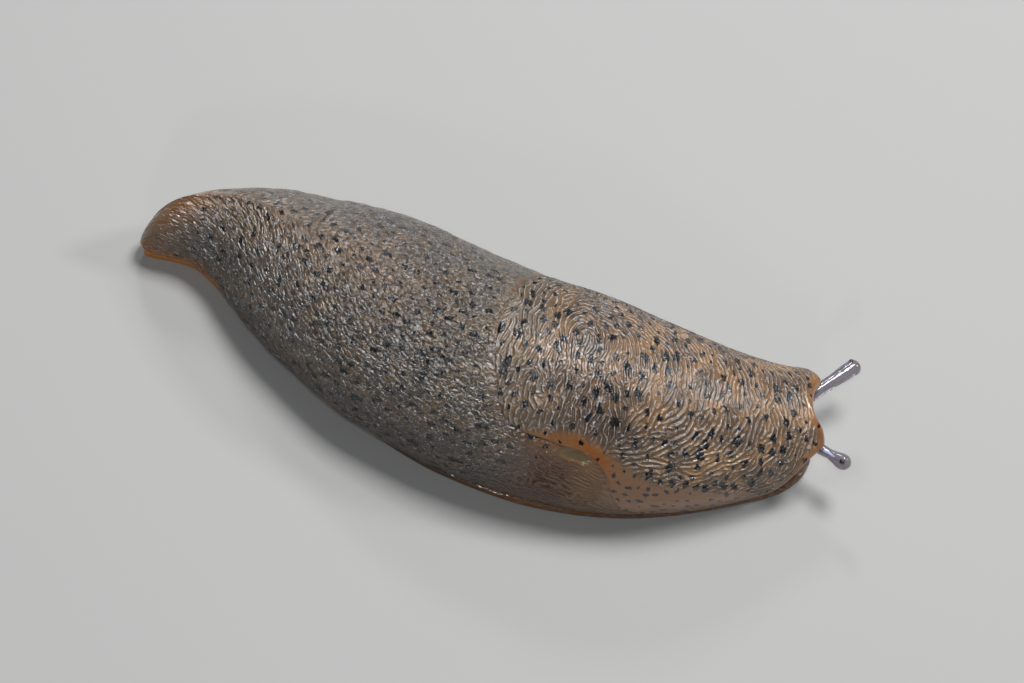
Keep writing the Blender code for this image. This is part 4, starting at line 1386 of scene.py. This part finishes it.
@dataclass
class MantleSkin:
    """The mantle as a closed shell with a smooth rim, its ridges running round one centre."""

    form: BodyForm
    outline: MantleOutline
    finish: MantleFinish
    rows: int = 300
    columns: int = 300
    coarse: int = 9
    inset: int = 3
    out: float = 0.3
    rim_middle: float = -0.42
    rim_round: float = 0.6
    joined_edge: float = -0.16
    free_from: tuple = (58.0, 66.0)
    inner_depth: float = 0.68
    inner_reach: float = 2.5
    centre: float = 46.4
    centre_left: float = 1.0
    centre_right: float = -2.0
    centre_far_right: float = -13.0
    reach_ahead: float = 27.0
    reach_behind: float = 11.0
    reach_aside: float = 17.0
    spacing: float = 0.54
    ridge: float = 0.028
    ridge_limit: float = 1.5
    ridge_run: float = 0.5
    ridge_seed: int = 23
    ridge_spread: float = 0.24
    wavers: tuple = ((1.3, 21, 0.26), (0.5, 22, 0.22))
    right_band: Ramp = Ramp(48.0, 57.0)
    relief: Relief = field(default_factory=lambda: Relief((35.0, -29.0), (79.0, 29.0), 0.065))
    rises: tuple = ((0.45, Ramp(0.0, 0.35)), (0.55, Ramp(0.35, 4.0)))
    inner_gap: float = 0.1
    chart_share: float = 0.25
    spot_seed: int = 41
    spot_sizes: tuple = (0.45, 1.35)
    spot_gap: float = 1.24
    spot_size: float = 0.33
    spot_less: float = 0.13
    spot_margin: float = 0.3
    spot_flank: float = -14.0
    crowded: Area = Area(0.3, s=Ramp(44.0, 48.0), arc=Ramp(-10.0, -14.0))
    small_spots: Area = Area(s=Ramp(44.0, 50.0), third=Ramp(4.0, 1.0))
    front_band: Ramp = Ramp(54.0, 62.0)
    hood_band: Ramp = Ramp(69.0, 74.0)
    amber_band: Ramp = Ramp(58.0, 66.0)
    rim_least: float = 0.05
    rim_front: float = 0.55
    rim_hood: float = 0.45
    rim_fades: tuple = (0.5, 1.3, 0.1)
    rim_bead: Bell = Bell(0.6, 0.35)
    rim_lift: float = 0.10
    rim_amber: float = 0.12
    rim_ochre: float = 0.6
    drape_smooth: float = 0.92
    pore_lip: Area = Area(s=Bell(50.6, 2.4), third=Ramp(1.7, 0.2))
    lip_arc: float = -4.0
    lip_lift: float = 0.08
    lip_amber: float = 0.95
    rear: Area = Area(0.75, s=Ramp(52.0, 43.0), third=Ramp(7.0, 0.0))
    dark: tuple = (Area(s=Bell(50.5, 5.0), arc=Bell(-8.0, 2.6)), Area(0.9, arc=Ramp(5.0, 12.0)),
                   Area(0.5, s=Bell(47.0, 5.0)))

    def point(self, chart: Array, lift: Array) -> Array:
        """Points over the body at chart places."""
        s, arc = chart[..., 0], chart[..., 1]
        angle = self.form.angle(s, arc)
        return self.form.place(s, *self.form.surface(s, angle, lift))

    def lift(self, s: Array, edge: Array) -> tuple[Array, Array]:
        """How far the outer and the inner side stand off the body, by the distance to the mantle's edge."""
        free = smoothstep(*self.free_from, s)
        rise = sum(share * ramp(edge) for share, ramp in self.rises)
        joined = self.joined_edge + (self.out - self.joined_edge) * rise
        loose = self.rim_middle + (self.out - self.rim_middle) * rounded(edge / self.rim_round)
        rim = self.joined_edge + (self.rim_middle - self.joined_edge) * free
        under = rim - self.inner_gap - self.inner_depth * smoothstep(0, self.inner_reach, edge)
        return joined + (loose - joined) * free, under

    def coarse_lines(self, count: int) -> Array:
        """Row or column numbers of the inner side's wider grid."""
        inner = np.arange(self.inset + self.coarse, count - self.inset - self.coarse // 2, self.coarse)
        return np.concatenate([[self.inset], inner, [count - 1 - self.inset]])

    def build(self) -> bpy.types.Object:
        """Build the mantle."""
        skin = SkinMesh()
        patch = self.outline.patch(self.rows, self.columns)
        edge = np.maximum(self.outline.distance(patch[..., 0], patch[..., 1]), 0)
        edge[0], edge[-1], edge[:, 0], edge[:, -1] = 0, 0, 0, 0
        lift, under = self.lift(patch[..., 0], edge)
        share = np.full(edge.shape + (1,), self.chart_share)
        outer = skin.add_points(self.point(patch, lift), np.concatenate([patch, share], axis=-1))
        skin.add_grid(outer)
        lines = self.coarse_lines(self.rows), self.coarse_lines(self.columns)
        wide = np.ix_(*lines)
        inner = skin.add_points(self.point(patch[wide], under[wide]),
                                np.concatenate([patch[wide], share[wide]], axis=-1))
        skin.add_grid(inner, flip=True, sheet=1)
        skin.add_zip(*self.round_edge(outer), *self.round_edge(inner), flip=True, sheet=2)
        points, chart = skin.arrays()
        skin.face_outwards(points)
        numbers, height = self.marks(chart, outer.size)
        points = points + skin.normals(points) * height[:, None]
        return skin.to_object("mantle_skin", points, numbers, chart, self.finish.make())

    @staticmethod
    def round_edge(numbers: Array) -> tuple[Array, Array]:
        """Point numbers round a grid's edge, and their places along it as sides walked."""
        sides = (numbers[0], numbers[:, -1], numbers[-1, ::-1], numbers[::-1, 0])
        walked = [k + np.linspace(0, 1, len(side)) for k, side in enumerate(sides)]
        line = np.concatenate([side[:-1] for side in sides] + [numbers[0, :1]])
        return line, np.concatenate([w[:-1] for w in walked] + [[float(len(sides))]])

    def throw_spots(self) -> Array:
        """A chart of the black spots."""
        def gap(s: Array, arc: Array) -> Array:
            off = self.outline.distance(s, arc) < self.spot_margin
            return np.where(off, np.inf, self.spot_gap - self.crowded(s, arc))

        def size(s: Array, arc: Array) -> Array:
            edge = self.outline.distance(s, arc)
            small = np.maximum(self.small_spots(s, arc, edge), self.outline.below_line(s, arc))
            return self.spot_size - self.spot_less * small

        def way(s: Array, arc: Array) -> Array:
            return np.where(arc < self.spot_flank, 0.0, QUARTER)

        least, most = self.spot_sizes
        return Spots(self.relief, self.spot_seed, least=least, most=most).throw(gap, size, way)

    def grow_ridges(self) -> Array:
        """A chart of the ridges that run round the mantle's centre."""
        s, arc = self.relief.axes()
        ahead = s - self.centre
        right_end = self.centre_far_right + (self.centre_right - self.centre_far_right) * self.right_band(s)
        off = arc - np.clip(arc, right_end, self.centre_left)
        reach = np.where(ahead > 0, self.reach_ahead, self.reach_behind)
        way = np.mod(np.arctan2(off / self.reach_aside**2, ahead / reach**2) - QUARTER, math.pi)
        waver = sum(self.relief.smooth_noise(size, seed) * share for size, seed, share in self.wavers)
        return self.relief.folds(way + waver, self.spacing, self.ridge_run, self.ridge_seed,
                                 self.ridge_spread)

    def marks(self, chart: Array, outer_count: int) -> tuple[dict[str, Array], Array]:
        """Numbers to store on the mantle's points, and how far each point is raised."""
        s, arc = chart[:, 0], chart[:, 1]
        edge = np.maximum(self.outline.distance(s, arc), 0)
        folds = self.relief.read(self.grow_ridges(), s, arc)
        outer = np.arange(len(s)) < outer_count
        front = self.front_band(s)
        rim_width = self.rim_least + self.rim_front * front + self.rim_hood * self.hood_band(s)
        near, far, more = self.rim_fades
        rim = (1 - smoothstep(near * rim_width, far * rim_width + more, edge)) * outer
        drape = self.outline.below_line(s, arc) * (arc < 0) * outer
        smooth = np.clip(rim + self.drape_smooth * drape, 0, 1)
        on_lip = self.pore_lip(s, arc, edge) * (arc < self.lip_arc)
        ridges = self.ridge * np.clip(folds.real, -self.ridge_limit, self.ridge_limit) * (1 - smooth) * outer
        height = ridges + self.rim_lift * self.rim_bead(edge) * rim * front + self.lip_lift * on_lip
        amber = np.maximum(self.rim_amber * rim * self.amber_band(s), self.lip_amber * on_lip) * outer
        dark = np.maximum.reduce([area(s, arc) for area in self.dark]) * (1 - np.maximum(rim, drape))
        shares = {"smooth": smooth, "rear": self.rear(s, arc, edge) * (1 - drape), "amber": amber,
                  "ochre": np.maximum(drape, self.rim_ochre * rim * front), "dark": dark,
                  "spots": self.relief.read(self.throw_spots(), s, arc) * outer}
        shares = {name: np.clip(values, 0, 1) for name, values in shares.items()}
        return {"fold_crest": folds.real, "fold_flank": folds.imag, **shares}, height

    def dress(self, piece: bpy.types.Object) -> None:
        """Let the skin stand for the mantle's solid."""
        declare(piece, "mantle_skin", "mantle")


@dataclass(frozen=True)
class Stalk:
    """One feeler: root and tip as (s, side, z), the radii along it and the way its eye looks."""

    root: tuple
    tip: tuple
    root_radius: float
    waist_radius: float
    bulb_radius: float
    eye_way: tuple = (0.0, 0.0, 1.0)

    @property
    def length(self) -> float:
        """Length from root to tip."""
        return float(np.linalg.norm(np.subtract(self.tip, self.root)))

    def at(self, share: float) -> Array:
        """A place at a share of the length."""
        return np.add(self.root, np.subtract(self.tip, self.root) * share)

    def eye(self, sunk: float) -> Array:
        """Middle of the eye, sunk into the bulb."""
        along = np.subtract(self.tip, self.root) / self.length
        way = np.array(self.eye_way) / np.linalg.norm(self.eye_way)
        return np.array(self.tip) - along * self.bulb_radius + way * (self.bulb_radius - sunk)


UPPER_STALKS = {
    Side.LEFT: Stalk((74.75, 1.55, 5.75), (83.5, 5.25, 6.9), 0.80, 0.78, 0.95, (-0.26, 0.69, 0.55)),
    Side.RIGHT: Stalk((74.5, -2.75, 5.75), (78.6, -7.2, 6.7), 0.78, 0.58, 0.93, (-0.40, -0.37, 0.84)),
}
LOWER_STALKS = {
    Side.LEFT: Stalk((74.8, 0.95, 4.35), (76.2, 1.15, 4.4), 0.42, 0.38, 0.42),
    Side.RIGHT: Stalk((74.8, -1.35, 4.35), (76.2, -1.55, 4.4), 0.42, 0.38, 0.42),
}
EYE_RADIUS = 0.32
EYE_SUNK = 0.2
POLE_CHART = (1.6, 3.0, 0.4)


FLESH = PlainFinish("feeler_flesh", coat=0.9, colour=tint(150, 144, 152), deeper=tint(150, 124, 124),
                    lump=Lumps(1 / 2.6, 3.0), mottled=(0.45, 0.75), mottle_share=0.6, clearness=0.72,
                    height=0.000015)
STRAND = PlainFinish("feeler_strand", colour=tint(176, 180, 205), deeper=tint(130, 130, 160))
PUPIL = PlainFinish("eye_black", roughness=0.12, depth=0.0, colour=tint(8, 8, 10), deeper=tint(16, 16, 20))


@dataclass
class TubeMaker:
    """Round tubes that swell to a bulb, made by one node tree along a line."""

    rings: int = 72
    sides: int = 40
    bulb_starts: float = 0.55
    bulb_full: float = 0.85
    blunt: float = 0.06
    bunching: float = 1.8
    lumps: Lumps = Lumps(0.5, 2.0)
    inputs: dict = field(default_factory=dict)
    tree: Any = None

    def __post_init__(self) -> None:
        """Build the tree."""
        self.tree = bpy.data.node_groups.new("swelling_tube", "GeometryNodeTree")
        interface = self.tree.interface
        for name, kind in (("Root", "Vector"), ("Tip", "Vector"), ("Root Radius", "Float"),
                           ("Waist Radius", "Float"), ("Bulb Radius", "Float"), ("Lumps", "Float"),
                           ("Finish", "Material")):
            port = interface.new_socket(name=name, in_out="INPUT", socket_type=f"NodeSocket{kind}")
            self.inputs[name] = port.identifier
        interface.new_socket(name="Tube", in_out="OUTPUT", socket_type="NodeSocketGeometry")
        graph = Graph(self.tree)
        given = graph.node("NodeGroupInput")
        size = {name: Socket(graph, given.outputs[name]) for name in self.inputs}
        line = graph.take("GeometryNodeCurvePrimitiveLine", {"mode": "POINTS"},
                          {"Start": size["Root"], "End": size["Tip"]})
        dense = graph.take("GeometryNodeResampleCurve", {"mode": "COUNT"},
                           {"Curve": line, "Count": self.rings})
        factor = graph.take("GeometryNodeSplineParameter", output="Factor")
        share = 1 - (1 - factor) ** self.bunching
        place = graph.take("ShaderNodeMix", {"data_type": "VECTOR"},
                           {"Factor_Float": share, "A_Vector": size["Root"], "B_Vector": size["Tip"]},
                           "Result_Vector")
        moved = graph.take("GeometryNodeSetPosition", {}, {"Geometry": dense, "Position": place})
        stalk = size["Root Radius"] + (size["Waist Radius"] - size["Root Radius"]) * (
            factor / self.bulb_starts).smaller(1.0)
        swell = stalk + (size["Bulb Radius"] - stalk) * factor.step(self.bulb_starts, self.bulb_full)
        length = graph.take("ShaderNodeVectorMath", {"operation": "DISTANCE"},
                            {0: size["Root"], 1: size["Tip"]}, "Value")
        near_tip = ((1 - factor) * length / size["Bulb Radius"]).smaller(1.0)
        round_tip = (1 - (1 - near_tip) ** 2).larger(0.0) ** 0.5
        radius = swell * round_tip.larger(self.blunt)
        ring = graph.take("GeometryNodeCurvePrimitiveCircle", {"mode": "RADIUS"},
                          {"Resolution": self.sides, "Radius": 1.0})
        tube = graph.take("GeometryNodeCurveToMesh", {},
                          {"Curve": moved, "Profile Curve": ring, "Scale": radius, "Fill Caps": True})
        lump = graph.take("ShaderNodeTexNoise", {"noise_dimensions": "3D"},
                          {"Scale": 1 / (self.lumps.size * MM), "Detail": self.lumps.detail}, "Fac")
        out = graph.scaled(graph.take("GeometryNodeInputNormal"), (lump - 0.5) * size["Lumps"])
        rough = graph.take("GeometryNodeSetPosition", {}, {"Geometry": tube, "Offset": out})
        soft = graph.take("GeometryNodeSetShadeSmooth", {}, {"Geometry": rough, "Shade Smooth": True})
        whole = graph.take("GeometryNodeRealizeInstances", {}, {"Geometry": soft})
        dressed = graph.take("GeometryNodeSetMaterial", {}, {"Geometry": whole, "Material": size["Finish"]})
        graph.node("NodeGroupOutput", {}, {"Tube": dressed})

    def make(self, name: str, root: Array, tip: Array, radii: tuple[float, float, float], lumps: float,
             material: bpy.types.Material) -> bpy.types.Object:
        """Make one tube as a plain mesh.

        Args:
            name: The piece's name.
            root: Where it starts, in millimetres.
            tip: Where it ends.
            radii: Radius at the root, the waist and the bulb.
            lumps: Height of its unevenness.
            material: Its finish.

        Returns:
            The piece.
        """
        holder = show(f"{name}_line", bpy.data.meshes.new(f"{name}_line"))
        step = holder.modifiers.new("tube", "NODES")
        step.node_group = self.tree
        values = dict(zip(("Root Radius", "Waist Radius", "Bulb Radius"), (float(r) * MM for r in radii)))
        values["Lumps"] = float(lumps) * MM
        for key, value in values.items():
            step[self.inputs[key]] = value
        for key, value in (("Root", root), ("Tip", tip)):
            step[self.inputs[key]] = [float(v) * MM for v in value]
        step[self.inputs["Finish"]] = material
        shape = bpy.data.meshes.new_from_object(holder.evaluated_get(bpy.context.evaluated_depsgraph_get()))
        holder.modifiers.remove(step)
        bpy.data.objects.remove(holder)
        shape.name = name
        return show(name, shape)


@dataclass
class Feelers:
    """Both pairs of feelers, the pale strand inside each upper one, and the eyes."""

    form: BodyForm
    maker: TubeMaker
    flesh: PlainFinish
    strand: PlainFinish
    pupil: PlainFinish
    upper_lumps: float = 0.05
    lower_lumps: float = 0.03
    strand_lumps: float = 0.08
    strand_starts: float = 0.05
    strand_radii: tuple = (0.44, 0.24, 0.14)
    eye_sides: int = 28
    eye_rings: int = 15

    def build_stalk(self, name: str, stalk: Stalk, lumps: float,
                    flesh: bpy.types.Material) -> bpy.types.Object:
        """Build a feeler's flesh from its root to its tip."""
        root, tip = (self.form.place(*place) for place in (stalk.root, stalk.tip))
        radii = (stalk.root_radius, stalk.waist_radius, stalk.bulb_radius)
        return self.maker.make(name, root, tip, radii, lumps, flesh)

    def make_eye(self, name: str, middle: Array, material: bpy.types.Material) -> bpy.types.Object:
        """Make one eye, a small smooth ball."""
        turn = np.linspace(0, 2 * math.pi, self.eye_sides, endpoint=False)
        rise = np.linspace(-QUARTER, QUARTER, self.eye_rings + 2)[1:-1]
        skin = SkinMesh()
        rises, turns = np.meshgrid(rise, turn, indexing="ij")
        out = np.cos(rises)
        ball = np.stack([out * np.cos(turns), out * np.sin(turns), np.sin(rises)], axis=-1)
        chart = np.stack([rises, turns, turns / (2 * math.pi)], axis=-1)
        numbers = skin.add_points(middle + EYE_RADIUS * ball, chart)
        skin.add_grid(numbers, closed=True)
        for pole, ring, flip in ((-1, numbers[0], True), (1, numbers[-1], False)):
            place = np.array([middle + (0, 0, pole * EYE_RADIUS)])
            end = skin.add_points(place, np.array([POLE_CHART]) * (pole, 1, 1))
            skin.add_fan(ring, int(end[0]), flip)
        points, chart = skin.arrays()
        skin.face_outwards(points)
        return skin.to_object(name, points, {}, chart, material)

    def build(self) -> None:
        """Build all feelers and eyes."""
        flesh, strand, pupil = self.flesh.make(), self.strand.make(), self.pupil.make()
        for side in Side:
            stalk, word = UPPER_STALKS[side], side.word
            upper = self.build_stalk(f"upper_feeler_{word}", stalk, self.upper_lumps, flesh)
            declare(upper, "feeler", f"upper_feeler_stalk_{word}", f"upper_feeler_bulb_{word}")
            start, eye = self.form.place(*stalk.at(self.strand_starts)), self.form.place(*stalk.eye(EYE_SUNK))
            inner = self.maker.make(f"feeler_strand_{word}", start, eye, self.strand_radii, self.strand_lumps,
                                    strand)
            declare(inner, "feeler")
            declare(self.make_eye(f"eye_ball_{word}", eye, pupil), "eye", f"eye_{word}")
            lower = self.build_stalk(f"lower_feeler_skin_{word}", LOWER_STALKS[side], self.lower_lumps, flesh)
            declare(lower, "feeler", f"lower_feeler_{word}")


@dataclass(frozen=True)
class View:
    """The photograph's view from above and a little behind the right side, turned to bring the head low."""

    azimuth: float = math.radians(-9)
    elevation: float = math.radians(57)
    roll: float = math.radians(17)
    lens: float = 110.0
    sensor: float = 36.0
    image_width: int = 1024
    pixels_per_mm: float = 9.09
    target: tuple = (0.994, 1.895, 8.0)
    nearest: float = 0.01

    def build(self) -> None:
        """Add the camera."""
        back = Vector((math.sin(self.azimuth) * math.cos(self.elevation),
                       -math.cos(self.azimuth) * math.cos(self.elevation), math.sin(self.elevation)))
        along = (Vector((1, 0, 0)) - back * back.x).normalized()
        across = back.cross(along)
        right = along * math.cos(self.roll) + across * math.sin(self.roll)
        up = across * math.cos(self.roll) - along * math.sin(self.roll)
        distance = self.lens / self.sensor * self.image_width / self.pixels_per_mm * MM
        place = Vector(self.target) * MM + back * distance
        data = bpy.data.cameras.new("camera")
        data.lens = self.lens
        data.sensor_width = self.sensor
        data.clip_start = self.nearest
        camera = show("camera", data)
        camera.matrix_world = Matrix.Translation(place) @ Matrix((right, up, back)).transposed().to_4x4()
        bpy.context.scene.camera = camera


@dataclass(frozen=True)
class Lamp:
    """A soft square light that looks at the animal."""

    name: str
    place: tuple
    size: float
    power: float
    colour: tuple = (1.0, 1.0, 1.0)

    def build(self) -> None:
        """Add the light."""
        data = bpy.data.lights.new(self.name, "AREA")
        data.shape = "SQUARE"
        data.size = self.size
        data.energy = self.power
        data.color = self.colour
        light = show(self.name, data)
        light.location = self.place
        light.rotation_euler = Vector(self.place).to_track_quat("Z", "Y").to_euler()


@dataclass(frozen=True)
class Studio:
    """A pale floor, the lights and the camera."""

    floor_half: float = 1.5
    floor_colour: tuple = tint(160, 158, 154)
    floor_roughness: float = 0.85
    sky: tuple = (0.75, 0.85, 1.0, 1.0)
    sky_strength: float = 0.1
    lamps: tuple = (Lamp("key_light", (0.04, 0.15, 0.48), 0.17, 2.6, (0.95, 0.97, 1.0)),
                    Lamp("back_lamp", (-0.14, 0.36, 0.3), 0.07, 0.5, (0.9, 0.95, 1.0)),
                    Lamp("head_lamp", (0.33, 0.17, 0.33), 0.08, 0.8, (0.93, 0.96, 1.0)),
                    Lamp("near_lamp", (-0.05, -0.24, 0.42), 0.07, 0.5, (0.95, 0.97, 1.0)),
                    Lamp("flank_lamp", (0.02, -0.42, 0.24), 0.04, 0.25, (0.9, 0.95, 1.0)))
    view: View = View()

    def build(self) -> None:
        """Build the studio."""
        half = self.floor_half
        mesh = bpy.data.meshes.new("floor")
        corners = [(x * half, y * half, 0) for x, y in ((-1, -1), (1, -1), (1, 1), (-1, 1))]
        mesh.from_pydata(corners, [], [(0, 1, 2, 3)])
        material = bpy.data.materials.new("floor_paper")
        material.use_nodes = True
        shader = material.node_tree.nodes[SHADER]
        shader.inputs["Base Color"].default_value = self.floor_colour
        shader.inputs["Roughness"].default_value = self.floor_roughness
        mesh.materials.append(material)
        floor = show("floor", mesh)
        world = bpy.data.worlds.new("sky")
        world.use_nodes = True
        background = world.node_tree.nodes["Background"]
        background.inputs["Color"].default_value = self.sky
        background.inputs["Strength"].default_value = self.sky_strength
        bpy.context.scene.world = world
        bpy.context.scene.view_settings.view_transform = "Standard"
        for lamp in self.lamps:
            lamp.build()
        self.view.build()


def find_offset(form: BodyForm) -> Array:
    """How far the solids are moved from the spine's own frame, read from the left eye's place."""
    low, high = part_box("eye_left")
    middle = (np.array(low) + np.array(high)) / 2 / MM
    return middle - form.place(*UPPER_STALKS[Side.LEFT].eye(EYE_SUNK))


def main() -> None:
    """Build every piece in order."""
    logging.basicConfig(level=logging.INFO, format="%(message)s")
    form = BodyForm()
    form.offset = find_offset(form)
    LOG.info("frame offset %s", np.round(form.offset, 3))
    outline = MantleOutline(form)
    Studio().build()
    body = BodySkin(form, outline, BodyFinish("wet_body"))
    body.dress(body.build())
    mantle = MantleSkin(form, outline, MantleFinish("wet_mantle"))
    mantle.dress(mantle.build())
    Feelers(form, TubeMaker(), FLESH, STRAND, PUPIL).build()


if __name__ == "__main__":
    main()
